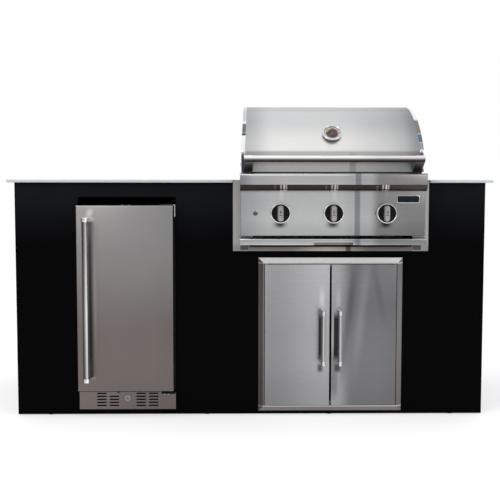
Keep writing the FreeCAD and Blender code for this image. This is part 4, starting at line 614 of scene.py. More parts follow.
# Painted shade on the plinth plate: darker to the right and on its upward and downward faces.
STEEL_KICK = brushed("brushed_kick", (0.165, 0.142, 0.132), 0.32, across(-0.6, -0.32, 0.84),
    facing(UP, 0.4, 0.9, 0.05), facing(LOW, 0.4, 0.9, 0.05))
# Painted light and shade on the left access door: darker to the left and lower down, a lighter
# smear above the pull, the pull's dark painted reflection beside it and its painted shadow under
# its foot.
STEEL_LEAF_L = brushed("brushed_leaf_left", (0.58, 0.58, 0.595), 0.28, across(0.29, 0.08, 0.7),
    down(0.6, 0.3, (0.6, 0.595, 0.6)), down(0.2, 0.12, 0.93),
    patch(1.42, x=(0.262, 0.296), z=(0.39, 0.53)),
    patch(0.16, x=(0.2648, 0.279), z=(0.203, 0.426), soft=0.4),
    patch(0.26, x=(0.257, 0.288), z=(0.165, 0.217), soft=0.8), depth=8e-7, vary=0.008)
# Painted light and shade on the right access door: darker to the right and lower down, slanting
# light and dark painted reflections, a lighter smear above the pull, the pull's dark painted
# reflection beside it and its painted shadow under its foot.
STEEL_LEAF_R = brushed("brushed_leaf_right", (0.46, 0.46, 0.47), 0.28,
    across(0.335, 0.4, (0.49, 0.49, 0.5)), down(0.58, 0.4, (0.74, 0.735, 0.74)),
    across(0.5, 0.56, (0.94, 0.93, 0.93)), patch(1.38, x=(0.404, 0.462), z=(0.06, 0.76), lean=0.11),
    patch(0.7, x=(0.364, 0.41), z=(0.16, 0.7), soft=0.9, lean=0.125),
    patch(0.8, x=(0.478, 0.522), z=(0.32, 0.66), lean=-0.2),
    patch(0.72, x=(0.34, 0.392), z=(0.06, 0.42), lean=0.08),
    patch(0.6, x=(0.29, 0.35), z=(0.04, 0.3), soft=0.6),
    patch(1.34, x=(0.328, 0.358), z=(0.39, 0.53)),
    patch(0.09, x=(0.3234, 0.345), z=(0.203, 0.426), soft=0.4),
    patch(0.28, x=(0.322, 0.36), z=(0.165, 0.217), soft=0.8), depth=8e-7, vary=0.008)
# Painted light and shade on the door frame by how each face is turned: lighter on its sloping top,
# darker on faces turned straight up, left, right, down and to the front, and darker lower down,
# with two painted highlight lines near its foot and top.
STEEL_TRIM = brushed("brushed_trim", (0.29, 0.285, 0.285), 0.28, facing(UP, 0.35, 0.5, 2.7),
    facing(UP, 0.9, 0.99, 0.25), facing(LEFT, 0.35, 0.5, (0.28, 0.235, 0.21)),
    facing(RIGHT, 0.35, 0.5, (0.7, 0.66, 0.65)), facing(LOW, 0.35, 0.5, (0.86, 0.82, 0.82)),
    facing(TOWARDS, 0.9, 0.97, 0.6), down(0.4, 0.1, (0.86, 0.84, 0.84)),
    patch(3.4, z=(0.0362, 0.0402), soft=0.1), patch(3.2, z=(0.6018, 0.6057), soft=0.1))
# Painted shade on the handle bar's left and right sides and a painted light over its middle length.
STEEL_BAR = brushed("brushed_bar", (0.58, 0.58, 0.59), 0.2,
    facing(LEFT, -0.72, 0.42, (0.12, 0.1, 0.11)), facing(RIGHT, 0.8, 1.0, (0.2, 0.19, 0.18)),
    patch(1.25, z=(0.2, 0.7)), lines=UPRIGHT, depth=6e-7)
# Painted shade on the brackets' left faces and painted light on their right faces.
STEEL_BRACKET = brushed("brushed_bracket", (0.6, 0.6, 0.61), 0.24,
    facing(LEFT, 0.1, 0.8, (0.24, 0.2, 0.21)), facing(RIGHT, 0.15, 0.6, 2.6), lines=SHORT_X,
    depth=6e-7)
RING_TALL = 0.019             # the thicker rings at both ends of an access door's pull
PULL_FOOT, PULL_HEAD = (node_box("access_handle_left")[i][2] for i in (0, 1))
PULL_RINGS = ((PULL_FOOT, PULL_FOOT + RING_TALL), (PULL_HEAD - RING_TALL, PULL_HEAD))
# Painted shade on the pulls' left sides; lighter on their end rings.
STEEL_PULL = brushed("brushed_pull", 0.44, 0.22, facing(LEFT, 0.1, 0.55, 0.26),
    *[patch(1.5, z=ring, soft=0.15) for ring in PULL_RINGS], lines=UPRIGHT, depth=6e-7)
STEEL_GRIP = brushed("brushed_grip", (0.4, 0.39, 0.38), 0.26, lines=(700.0, 700.0, 8.0))
DIAL_SILVER = brushed("dial_silver", 0.62, 0.34, lines=(900.0, 900.0, 900.0), depth=4e-6)
CHROME = polished("mirror_steel", (0.72, 0.72, 0.73), 0.06)
# Painted shade on the knob skirts' downward faces.
CHROME_KNOB = polished("mirror_knob", (0.84, 0.83, 0.81), 0.08,
    facing(LOW, 0.3, 0.9, (0.45, 0.38, 0.34)))
# Dark mirror steel with a painted highlight on its upward faces.
LOCK_STEEL = polished("mirror_lock", (0.3, 0.3, 0.31), 0.14, facing(UP, 0.2, 0.8, 2.6))
# A light glint at the igniter's upper right and a shade at its lower left
GLINT = {"x": (0.017, 0.027), "z": (0.8015, 0.8125)}
SHADE = {"x": (0.006, 0.017), "z": (0.788, 0.8005)}
# Dark mirror steel with painted highlights on faces turned right and up, and the igniter's painted
# glint and shade.
CHROME_SHADE = polished("mirror_shade", (0.16, 0.155, 0.15), 0.12, facing(RIGHT, 0.2, 0.9, 2.4),
    facing(UP, 0.2, 0.9, 4.0), patch(6.0, **GLINT), patch(0.3, **SHADE))
# The igniter cap: a painted highlight on its upward faces, and the painted glint and shade.
CHROME_CAP = polished("mirror_cap", (0.13, 0.13, 0.14), 0.14, facing(UP, 0.1, 0.7, 5.0),
    patch(4.0, **GLINT), patch(0.35, **SHADE))


def painted_reflection_band(name, spans):
    """Mirror steel with painted reflections of the room in runs up its length: (low, high, colour)
    each.
    """
    runs = [patch(tint, z=(low, high), soft=0.3) for low, high, tint in spans]
    return polished(name, 0.92, 0.1, *runs)


# Painted reflections of the room on the two end bands.
BAND_LEFT = painted_reflection_band("mirror_band_left",
    ((0.9, 1.036, (0.075, 0.085, 0.125)), (1.096, 1.107, 0.09), (1.104, 1.148, 0.2),
        (1.148, 1.23, (0.66, 0.68, 0.71))))
BAND_RIGHT = painted_reflection_band("mirror_band_right",
    ((0.9, 1.045, (0.16, 0.15, 0.16)), (0.968, 0.984, 4.5), (1.068, 1.106, (0.13, 0.2, 0.28)),
        (1.1, 1.166, (0.28, 0.24, 0.21)), (1.04, 1.072, (0.34, 0.36, 0.42))))
# Painted light and shade on the panel brackets: lighter to the right and darker towards the foot.
SHEET_DARK = sheet("dark_sheet", (0.1, 0.095, 0.09), (0.15, 0.145, 0.14), 0.4,
    across(0.3, 0.6, 1.9), down(0.713, 0.704, 0.45))
# Painted shade makes the hinges almost black inside the niche and low down.
HINGE_SHEET = sheet("hinge_sheet", (0.5, 0.53, 0.55), (0.6, 0.63, 0.65), 0.34,
    patch(0.1, x=(-0.5, -0.2972), z=(0.7, 0.9), soft=0.001), patch(0.012, z=(0.0, 0.3), soft=0.1))
# The drip tray, with the painted shade in the gap under its front.
PAN_STEEL = brushed("brushed_pan", 0.8, 0.34, TRAY_GAP_SHADE)
PLATED = sheet("plated_sheet", (0.42, 0.43, 0.44), (0.52, 0.53, 0.54), 0.4)
# Painted shade makes the frame almost black inside the refrigerator's niche.
MILL = sheet("mill_tube", (0.5, 0.51, 0.52), (0.6, 0.61, 0.62), 0.45,
    patch(0.01, x=(-0.76, -0.24), z=(0.8, 0.9), soft=0.1), pebble=300.0)
ROD_STEEL = sheet("rod_steel", (0.26, 0.255, 0.25), (0.36, 0.355, 0.35), 0.42, pebble=700.0,
    depth=3e-5)
BRASS = sheet("machined_brass", (0.52, 0.38, 0.14), (0.66, 0.5, 0.22), 0.32, pebble=600.0)
# Black powder coat, with painted shade that darkens it towards the bottom.
BLACK_COAT = sprayed("black_coat", (0.0056, 0.0062, 0.0078), (0.0074, 0.008, 0.0096), 0.4,
    down(0.9, 0.66, (0.06, 0.06, 0.075)), gloss=0.03)
BLACK_PART = sprayed("black_moulding", (0.006, 0.006, 0.007), (0.011, 0.011, 0.012), 0.38,
    pebble=1400.0, depth=3e-5, gloss=0.15)
KNOB_BLACK = sprayed("knob_enamel", (0.0015, 0.0018, 0.0022), (0.003, 0.0033, 0.0038), 0.22,
    pebble=600.0, depth=4e-6, gloss=0.12)
PLATE_BLACK = sprayed("plate_enamel", (0.004, 0.006, 0.012), (0.007, 0.01, 0.018), 0.3,
    pebble=900.0, depth=4e-6, gloss=0.12)
RUBBER = sprayed("black_rubber", 0.008, 0.016, 0.65, pebble=500.0, gloss=0.2)
COOLER_INSIDE = ((-0.641, -0.321), (FRONT + 0.001, FRONT + 0.533), (0.133, 0.801))
WHITE = ((0.62, 0.62, 0.6), (0.7, 0.7, 0.68), 0.3)
WHITE_GRAIN = {"pebble": 800.0, "depth": 2e-5}
WHITE_PART = sprayed("white_moulding", *WHITE,
    patch((0.012, 0.014, 0.018), *COOLER_INSIDE, soft=0.004, output="Rest"), gloss=0.04,
    **WHITE_GRAIN)
DOOR_LINER = sprayed("white_door_liner", *WHITE, **WHITE_GRAIN)
GREY_MARK = sprayed("grey_mark", (0.014, 0.016, 0.022), (0.026, 0.028, 0.036), 0.5, gloss=0.2)
RED_MARK = sprayed("red_paint", (0.5, 0.02, 0.015), (0.62, 0.03, 0.02), 0.35)
YELLOW_MARK = sprayed("yellow_paint", (0.62, 0.48, 0.03), (0.74, 0.58, 0.05), 0.35)
SLAB = slab_stone("honed_slab")
GLASS = clear("shelf_glass", (0.9, 0.97, 0.95))
LENS = clear("lens_glass", 1.0)

NODE_FINISH = {
    RUBBER: "levelling_feet gas_grommet fridge_gasket hood_bumpers",
    MILL: "body_frame",
    PLATED: "floor_deck hood_hinges access_pins",
    HINGE_SHEET: "fridge_hinges",
    PAN_STEEL: "drip_tray",
    BLACK_COAT: "front_panel rear_panel side_panels side_vents",
    SLAB: "counter_left counter_right counter_back",
    STEEL_JACKET: "liner_flange",
    STEEL_INSIDE: "liner_box firebox",
    STEEL_PANEL: "control_panel",
    STEEL_TRAY: "drip_tray_front",
    ROD_STEEL: "burners heat_tents grates warming_rack",
    BRASS: "gas_train valve_stem_left valve_stem_middle valve_stem_right",
    STEEL_HOOD: "hood_skin",
    CHROME: "hood_ends hood_handle igniter_body igniter_button thermometer_case "
            "knob_left knob_middle knob_right",
    LOCK_STEEL: "fridge_lock_barrel",
    CHROME_SHADE: "fridge_lock_plug",
    RED_MARK: "thermometer_needle",
    LENS: "thermometer_glass",
    GLASS: "fridge_shelves",
    WHITE_PART: "fridge_cabinet",
    BLACK_PART: "fridge_feet fridge_door_stop cooling_unit access_catches "
                "knob_face_left knob_face_middle knob_face_right",
    STEEL_KICK: "fridge_kick_plate",
    DOOR_LINER: "fridge_door",
    STEEL_BAR: "fridge_handle access_handle_left access_handle_right",
    STEEL_TRIM: "access_frame",
    STEEL_LEAF_L: "access_door_left",
    STEEL_LEAF_R: "access_door_right",
}
for finish, names in NODE_FINISH.items():
    for node in names.split():
        NODES[node].data.materials.clear()
        NODES[node].data.materials.append(finish)


# ---------------------------------------------------------------- hood

HOOD_LOW, HOOD_HIGH, HOOD_MID = node_box("hood_skin")
ENDS_LOW, ENDS_HIGH, _ = node_box("hood_ends")
HOOD_FRONT, HOOD_TOP = HOOD_LOW[1], HOOD_HIGH[2]
HOOD_HALF = (ENDS_HIGH[0] - ENDS_LOW[0]) / 2
HOOD_FOOT = ENDS_LOW[2]
LEAN = math.radians(24.35)      # from upright, just above the crease
CREASE_SOFT = 0.004
HOOD_R = (HOOD_TOP - CREASE) / (1 - math.sin(LEAN))
BACK_R, BACK_TURN = 0.15, math.radians(65)
TAIL_Z, TAIL_LEAN = 0.978, 0.35
TAPER_Z, TAPER = 1.056, 0.0565
SKIN_T = 0.0015
BAND_W, BAND_T = 0.014, 0.001


def hood_line(out=0.0, over=40):
    """The hood's side outline as (y, z) rows, moved outwards by out: an upright band, a softened
    crease, the circle C + R*(-cos a, sin a) from the lean to the top, the tighter circle behind
    it, and a straight run down to the tail."""
    y0, c = HOOD_FRONT, np.array([HOOD_FRONT + HOOD_R * math.cos(LEAN), HOOD_TOP - HOOD_R])
    start = LEAN + CREASE_SOFT / HOOD_R
    a = np.linspace(start, np.pi / 2, over)
    arc = c + (HOOD_R + out) * np.stack([-np.cos(a), np.sin(a)], -1)
    low = np.array([[y0 - out, HOOD_FOOT], [y0 - out, CREASE - CREASE_SOFT]])
    corner = np.array([y0 - out, CREASE])
    t = np.linspace(0, 1, 6)[1:-1, None]
    bend = curve(low[1], corner, arc[0], t)
    b = np.linspace(0, BACK_TURN, 22)[1:]
    turn = np.stack([np.sin(b), np.cos(b)], -1)
    behind = np.array([c[0], HOOD_TOP - BACK_R]) + (BACK_R + out) * turn
    fall = (behind[-1, 1] - TAIL_Z) / math.tan(BACK_TURN)
    tail = behind[-1] + [fall, TAIL_Z - behind[-1, 1]]
    return np.concatenate([low, bend, arc, behind, tail[None]])


def end_x(z, side, inset=0.0):
    """Where the hood ends at a height: upright, then leaning in above the crease."""
    half = HOOD_HALF - inset - np.maximum(z - TAPER_Z, 0) * TAPER
    return HOOD_MID[0] + side * half


def walled(outer, inner):
    """Two like grids of points closed along their four borders, as a sheet with a thickness."""
    nu, nv = outer.shape[:2]
    n = nu * nv
    faces = fold(nu, nv).tolist() + (fold(nu, nv)[:, ::-1] + n).tolist()
    grid = np.arange(n).reshape(nu, nv)
    rim = np.r_[grid[:, 0], grid[-1, 1:], grid[-2::-1, -1], grid[0, -2:0:-1]]
    after = np.roll(rim, -1)
    faces += np.stack([rim, after, after + n, rim + n], -1).tolist()
    return np.concatenate([outer.reshape(-1, 3), inner.reshape(-1, 3)]), faces


def hood_sheet(out):
    """The hood's skin at one face: P(u, v) = (left end to right end at this height, line(v))."""
    y, z = hood_line(out).T
    u = np.linspace(0, 1, 9)[:, None]
    x = end_x(z, -1, SKIN_T) * (1 - u) + end_x(z, 1, SKIN_T) * u
    return np.stack(np.broadcast_arrays(x, y, z), -1)


def band_loop(side):
    """Polished band over one end: a crowned strip whose cross-section (inset, out) follows the
    hood's line and turns over the end plate's edge."""
    section = [(BAND_W, -0.0002), (BAND_W, 0.0004), (BAND_W - 0.0008, 0.0009),
        (BAND_W * 0.5, BAND_T), (0.0012, BAND_T), (0.0004, BAND_T * 0.7), (0.0, 0.0),
        (0.0, -0.0012), (BAND_W * 0.5, -0.0004)]
    rows = []
    for inset, out in section:
        y, z = hood_line(out).T
        rows.append(np.stack([end_x(z, side, inset), y, z], -1))
    return tube(np.array(rows).transpose(1, 0, 2))


def end_plate(side):
    """Flat plate of one end: rows of equal height from the hood's line in front to its line
    behind, as a sheet with a thickness."""
    line = hood_line(0.0, over=60)
    top = int(np.argmax(line[:, 1]))
    z = np.unique(np.r_[np.linspace(HOOD_FOOT, TAPER_Z, 8), np.linspace(TAPER_Z, line[top, 1], 40)])
    front = np.interp(z, line[:top + 1, 1], line[:top + 1, 0])
    behind = np.interp(z, line[top:, 1][::-1], line[top:, 0][::-1])
    behind = np.where(z < TAIL_Z, behind - (TAIL_Z - z) * TAIL_LEAN, behind)
    t = np.linspace(0, 1, 5)
    y = front[:, None] * (1 - t) + behind[:, None] * t
    zz = np.broadcast_to(z[:, None], y.shape)
    faces = [np.stack([end_x(zz, side, inset), y, zz], -1) for inset in (0.0, SKIN_T)]
    return walled(*faces)


piece("hood_shell", "hood", "brushed", STEEL_HOOD, walled(hood_sheet(0.0), hood_sheet(-SKIN_T)),
    stands_for=("hood_skin",), sharp=18)
for side, s, finish in (("left", -1, BAND_LEFT), ("right", 1, BAND_RIGHT)):
    piece("hood_end_band_" + side, "hood", "polished", finish, band_loop(s), sharp=50)
piece("hood_end_plates", "hood", "polished", STEEL_ENDS, end_plate(-1), end_plate(1),
    stands_for=("hood_ends",), sharp=18)

# The handle: a long tube between two collars on sloping arms
GRIP_LOW, GRIP_HIGH, _ = node_box("hood_handle")
COLLAR_R, COLLAR_W, BAR_R = 0.0135, 0.034, 0.0125
BAR_Y, BAR_Z = GRIP_LOW[1] + COLLAR_R, GRIP_HIGH[2] - COLLAR_R
BAR_IN = COLLAR_W * 0.9         # the bar ends inside its collars
BAR_LONG = GRIP_HIGH[0] - GRIP_LOW[0] - 2 * BAR_IN
ARM_FOOT = 0.0005


def handle_arm(x0):
    """One arm: its side outline from the collar to the band, carried along X with soft edges."""
    seat = HOOD_FRONT - BAND_T - 0.0003
    outline = rounded([(BAR_Y - COLLAR_R * 0.3, BAR_Z - COLLAR_R * 0.93),
            (BAR_Y + COLLAR_R * 0.5, BAR_Z + COLLAR_R * 0.8), (seat, BAR_Z + BAR_R / 2),
            (seat, HOOD_FOOT + ARM_FOOT)], (0.004, 0.006, 0.0006, 0.0006))
    return carried(outline, "x", x0, x0 + COLLAR_W, rim=0.0012)


def collar(x0):
    """One collar: a short tube with rounded lips, turned about the bar."""
    r, w = COLLAR_R, COLLAR_W
    return turned((x0, BAR_Y, BAR_Z), ACROSS,
        [(0.0, 0.0006), (BAR_R * 0.8, 0.0006), (BAR_R * 0.86, 0.0), (r - 0.001, 0.0), (r, 0.001),
            (r, w - 0.001), (r - 0.001, w), (0.0, w)], 56)


piece("hood_handle_tube", "hood", "brushed", STEEL_TUBE,
    rod((GRIP_LOW[0] + BAR_IN, BAR_Y, BAR_Z), ACROSS, BAR_R, 0, BAR_LONG, 64))
ENDS_X = (GRIP_LOW[0], GRIP_HIGH[0] - COLLAR_W)
piece("hood_handle_collars", "hood", "polished", STEEL_TUBE, *[collar(x) for x in ENDS_X])
piece("hood_handle_arms", "hood", "polished", STEEL_ARM, *[handle_arm(x) for x in ENDS_X],
    stands_for=("hood_handle",))

# ---------------------------------------------------------------- thermometer

GAUGE_Z, GAUGE_R, GAUGE_H = 1.099, 0.0368, 0.018
GAUGE_TILT = math.asin(math.sin(LEAN) + (GAUGE_Z - CREASE) / HOOD_R)
GAUGE_N = np.array([0.0, -math.cos(GAUGE_TILT), math.sin(GAUGE_TILT)])
GAUGE_UP = np.array([0.0, math.sin(GAUGE_TILT), math.cos(GAUGE_TILT)])
GAUGE_RIGHT = np.cross(GAUGE_UP, GAUGE_N)
GAUGE_P = np.array([HOOD_MID[0], HOOD_FRONT + HOOD_R * (math.cos(LEAN) - math.cos(GAUGE_TILT)),
        GAUGE_Z])
DIAL_H, DIAL_R = 0.011, 0.0315
RIBS, RIB_DEEP = 64, 0.016


def milled(a):
    """The ribbed edge of the gauge's wall: its radius wavers round the turn."""
    return 1 + RIB_DEEP * np.cos(RIBS * a)


def dial_disc(name, radius, low, high, slot, material):
    """A flat disc on the gauge."""
    piece(name, "hood", slot, material, rod(GAUGE_P, GAUGE_N, radius, low, high, 72))


def dial_arc(inner, outer, start, stop, lift, thick, steps=24):
    """A flat arc of a ring on the dial: angles run clockwise from upright, in degrees."""
    a = np.radians(np.linspace(start, stop, steps))[:, None, None]
    radius = np.array([inner, outer, outer, inner])[None, :, None]
    height = np.array([0, 0, thick, thick])[None, :, None] + lift
    ring = np.cos(a) * GAUGE_UP + np.sin(a) * GAUGE_RIGHT
    return tube(GAUGE_P + radius * ring + height * GAUGE_N)


piece("thermometer_wall", "hood", "polished", CHROME_SHADE,
    turned(GAUGE_P, GAUGE_N, [(0.0, -0.002), (0.03, -0.002), (0.0338, 0.0), (0.0338, 0.0128),
            (0.0312, 0.0128), (0.0312, 0.0095), (0.0, 0.0095)], 4 * RIBS, ripple=milled), sharp=60)
piece("thermometer_bezel", "hood", "polished", CHROME,
    turned(GAUGE_P, GAUGE_N,
        [(DIAL_R, DIAL_H), (0.0352, 0.0118), (GAUGE_R, 0.013), (GAUGE_R, 0.016),
            (0.0358, GAUGE_H - 0.0006), (0.0346, GAUGE_H), (0.0328, GAUGE_H - 0.0004),
            (DIAL_R, 0.0162), (DIAL_R, DIAL_H)], 96), stands_for=("thermometer_case",), sharp=60)
dial_disc("thermometer_ring", DIAL_R, DIAL_H - 0.0006, DIAL_H, "brushed", DIAL_SILVER)
dial_disc("thermometer_dial", 0.0238, DIAL_H - 0.0004, DIAL_H + 0.0003, "black_plastic", BLACK_PART)
for heat, paint, start, stop in (("warm", YELLOW_MARK, -78, -4), ("hot", RED_MARK, 4, 104)):
    piece(f"thermometer_{heat}_arc", "hood", "red_paint", paint,
        dial_arc(0.0188, 0.0226, start, stop, DIAL_H + 0.0001, 0.0004))
SWEEP = 135                     # the scale's half angle, in degrees
TICKS = np.arange(-SWEEP, SWEEP + 1, 9)
piece("thermometer_ticks", "hood", "black_plastic", BLACK_PART,
    *[dial_arc(0.0292 if i % 5 else 0.0278, 0.031, a - 0.7, a + 0.7, DIAL_H - 0.0001, 0.0003, 3)
        for i, a in enumerate(TICKS)])


def dial_number(text, angle, radius, size):
    """A plain number on the dial, upright to the reader."""
    words = bpy.data.curves.new("number", "FONT")
    words.body, words.size, words.extrude = text, size, 0.00012
    words.align_x, words.align_y = "CENTER", "CENTER"
    thing = placed("number", words)
    mesh = bpy.data.meshes.new_from_object(thing)
    bpy.data.objects.remove(thing)
    bpy.data.curves.remove(words)
    points = np.array([v.co[:] for v in mesh.vertices])
    faces = [list(p.vertices) for p in mesh.polygons]
    bpy.data.meshes.remove(mesh)
    a = math.radians(angle)
    middle = radius * (math.cos(a) * GAUGE_UP + math.sin(a) * GAUGE_RIGHT)
    place = GAUGE_P + middle + (DIAL_H + 0.0002) * GAUGE_N
    x, y, z = points.T[..., None]
    return place + x * GAUGE_RIGHT + y * GAUGE_UP + z * GAUGE_N, faces


piece("thermometer_numbers", "hood", "black_plastic", BLACK_PART,
    *[dial_number(str(100 * (i + 1)), -SWEEP + 45 * i, 0.0262, 0.0034) for i in range(7)])


# ---------------------------------------------------------------- control panel and knobs

PANEL_LOW, PANEL_HIGH, PANEL_MID = node_box("control_panel")
PANEL_X = PANEL_MID[0]
NOSE_HALF, FACE_HALF = (PANEL_HIGH[0] - PANEL_LOW[0]) / 2, 0.351
NOSE_FRONT, NOSE_TOP, NOSE_FOOT = PANEL_LOW[1], 0.951, 0.908
NOSE_SOFT = 0.008
FACE_Y, FACE_FOOT = FRONT - 0.082, 0.7135
FACE_FROM, FACE_TO = PANEL_X - FACE_HALF, PANEL_X + FACE_HALF
CURL_R, CURL_IN = FACE_Y - NOSE_FRONT, 0.0005
RIM_FRONT = FRONT - 0.05


def nose_line():
    """Side outline of the rounded top box, from its back edge over the top to where the curl
    starts, as (y, z) rows: flat, a quarter circle of NOSE_SOFT, then upright."""
    a = np.linspace(0, np.pi / 2, 9)
    c = np.array([NOSE_FRONT + NOSE_SOFT, NOSE_TOP - NOSE_SOFT])
    edge = c + NOSE_SOFT * np.stack([-np.sin(a), np.cos(a)], -1)
    return np.concatenate([[[RIM_FRONT, NOSE_TOP]], edge, [[NOSE_FRONT, NOSE_FOOT]]])


def curl_line():
    """The round underside of the top box: a quarter circle from the box's foot back to the face."""
    a = np.linspace(0, np.pi / 2, 14)
    return np.array([FACE_Y, NOSE_FOOT]) - CURL_R * np.stack([np.cos(a), np.sin(a)], -1)


def bar_of(line, back, half, rim=0.0015):
    """A side outline closed at its back and carried across the grill, with eased ends."""
    return carried(np.concatenate([line, back]), "x", PANEL_X - half, PANEL_X + half, rim=rim)


piece("panel_top_box", "island", "brushed", STEEL_NOSE,
    bar_of(nose_line(), [[RIM_FRONT, NOSE_FOOT]], NOSE_HALF), sharp=30)
piece("panel_curl", "island", "brushed", STEEL_CURL,
    bar_of(curl_line(), [[RIM_FRONT, NOSE_FOOT - CURL_R], [RIM_FRONT, NOSE_FOOT]],
        NOSE_HALF - CURL_IN, rim=0.0008), sharp=30)


def face_sheet():
    """The upright face with its foot turned under, as a closed bent sheet."""
    top, back, inside = NOSE_FOOT - 0.002, PANEL_HIGH[1], FACE_FOOT + 0.0015
    line = rounded([(RIM_FRONT, top), (FACE_Y, top), (FACE_Y, FACE_FOOT), (back, FACE_FOOT),
            (back, inside), (RIM_FRONT, inside)], (0.0005, 0.0005, 0.003, 0.0004, 0.0004, 0.0005))
    return carried(line, "x", FACE_FROM, FACE_TO, rim=0.0012)


piece("panel_face", "island", "brushed", STEEL_PANEL, face_sheet(), sharp=30)
SIDE_BACK, SIDE_TOP = PANEL_HIGH[1], 0.9267
CHEEK_T, CHEEK_IN = 0.0008, 0.0009
piece("panel_cheeks", "island", "brushed", STEEL_JACKET,
    *[soft_box((x - CHEEK_T, RIM_FRONT - 0.001, FACE_FOOT),
            (x + CHEEK_T, SIDE_BACK, SIDE_TOP), 0.0006)
        for x in (FACE_FROM + CHEEK_IN, FACE_TO - CHEEK_IN)])
BRACKET_W, BRACKET_GAP = 0.047, 0.0012
piece("panel_brackets", "island", "galvanised", SHEET_DARK,
    *[soft_box((x, FRONT - 0.078, 0.703 + BRACKET_GAP),
            (x + BRACKET_W, FRONT - 0.052, FACE_FOOT + 0.001), 0.001)
        for x in (FACE_FROM, FACE_TO - BRACKET_W)], stands_for=("control_panel",))

# A bare dark plate in a thin rim, over the right knob's right side
BLANK_X, BLANK_Z, BLANK_RIM = (0.5555, 0.6405), (0.8395, 0.867), 0.0015
piece("blank_plate_frame", "island", "polished", CHROME,
    soft_box((BLANK_X[0], FACE_Y - 0.0022, BLANK_Z[0]),
        (BLANK_X[1], FACE_Y + 0.0005, BLANK_Z[1]), 0.0009))
piece("blank_plate", "island", "black_plastic", PLATE_BLACK,
    soft_box((BLANK_X[0] + BLANK_RIM, FACE_Y - 0.0027, BLANK_Z[0] + BLANK_RIM),
        (BLANK_X[1] - BLANK_RIM, FACE_Y - 0.001, BLANK_Z[1] - BLANK_RIM), 0.0005))

KNOB_Z, R, FLARE = 0.8, 0.0378, 0.0018         # R is the skirt's radius
GRIP_W, GRIP_L, GRIP_H = 0.0208, 0.059, 0.012
KNOB_MARKS = ((0.0034, 0.0024, 0.0052), (0.0052, -0.0076, 0.0028))       # half width, foot, height
for side in ("left", "middle", "right"):
    low, high, mid = node_box("knob_" + side)
    knob, front = "knob_" + side, low[1] + GRIP_H - 0.002
    depth = high[1] - front
    seat = np.array([mid[0], front, KNOB_Z])
    piece("knob_skirt_" + side, knob, "polished", CHROME_KNOB,
        turned(seat, -TOWARDS, [(R - 0.0034, 0.0012), (R - 0.0032, 0.0002), (R - 0.0029, 0.0),
                (R - 0.0009, 0.0003), (R - 0.0001, 0.0014), (R + 0.0002, 0.004),
                (R + 0.0008, depth * 0.55), (R + FLARE, depth - 0.002), (R + FLARE - 0.0006, depth),
                (R - 0.003, depth), (R - 0.003, 0.0055), (0.0045, 0.0055), (0.0045, 0.003),
                (R - 0.0034, 0.003), (R - 0.0034, 0.0012)], 96), sharp=30)
    piece("knob_disc_" + side, knob, "black_plastic", KNOB_BLACK,
        turned(seat, -TOWARDS,
            [(0.0, 0.0006), (R - 0.009, 0.0006), (R - 0.006, 0.0014), (R - 0.0035, 0.001),
                (R - 0.0035, 0.0032), (0.0, 0.0032)], 72), stands_for=("knob_face_" + side,),
        sharp=25)
    piece("knob_grip_" + side, knob, "brushed", STEEL_GRIP,
        stadium(seat, GRIP_L, GRIP_W,
            [(-0.0012, -0.002), (-0.0012, 0.0004), (0.0, 0.0016), (0.0006, GRIP_H - 0.004),
                (0.0013, GRIP_H - 0.0024), (0.0032, GRIP_H - 0.0022)]), stands_for=(knob,),
        sharp=30)
    piece("knob_mark_" + side, knob, "black_plastic", GREY_MARK,
        *[soft_box((mid[0] - half, low[1] - 0.0001, KNOB_Z + up),
                (mid[0] + half, low[1] + 0.0012, KNOB_Z + up + tall), 0.0003)
            for half, up, tall in KNOB_MARKS])

# ---------------------------------------------------------------- drip tray front

TRAY_LOW, TRAY_HIGH, TRAY_MID = node_box("drip_tray_front")
RECESS_HALF, RECESS_H = 0.074, 0.01
RECESS_FROM, RECESS_TO = TRAY_MID[0] - RECESS_HALF, TRAY_MID[0] + RECESS_HALF


def tray_front():
    """Front bar with eased edges, in three runs: two full ones and a shallower middle one whose
    foot stands RECESS_H higher, closed behind by the recess's web."""
    runs = []
    y0, y1, z1 = TRAY_LOW[1], TRAY_HIGH[1], TRAY_HIGH[2]
    for x0, x1, foot in ((TRAY_LOW[0], RECESS_FROM, 0.0), (RECESS_FROM, RECESS_TO, RECESS_H),
            (RECESS_TO, TRAY_HIGH[0], 0.0)):
        z0 = TRAY_LOW[2] + foot
        outline = rounded([(y0, z0), (y0, z1), (y1, z1), (y1, z0)], (0.0025, 0.0035, 0.001, 0.001))
        runs.append(carried(outline, "x", x0, x1, rim=0.0 if foot else 0.0006))
    web = soft_box((RECESS_FROM, TRAY_HIGH[1] - 0.002, TRAY_LOW[2]),
        (RECESS_TO, TRAY_HIGH[1], TRAY_LOW[2] + RECESS_H + 0.001), 0.0003)
    return runs + [web]


piece("tray_front", "tray", "brushed", STEEL_TRAY, *tray_front(), stands_for=("drip_tray_front",),
    sharp=30)
# A darker lining that fills the tray's recess and stands for the shade inside it.
piece("tray_recess_lining", "tray", "brushed_dark", STEEL_RECESS,
    soft_box((RECESS_FROM + 0.0005, TRAY_LOW[1] + 0.0035, TRAY_LOW[2] + 0.0002),
        (RECESS_TO - 0.0005, TRAY_HIGH[1] - 0.0021, TRAY_LOW[2] + RECESS_H - 0.0004), 0.0006))

# ---------------------------------------------------------------- igniter and liner sill

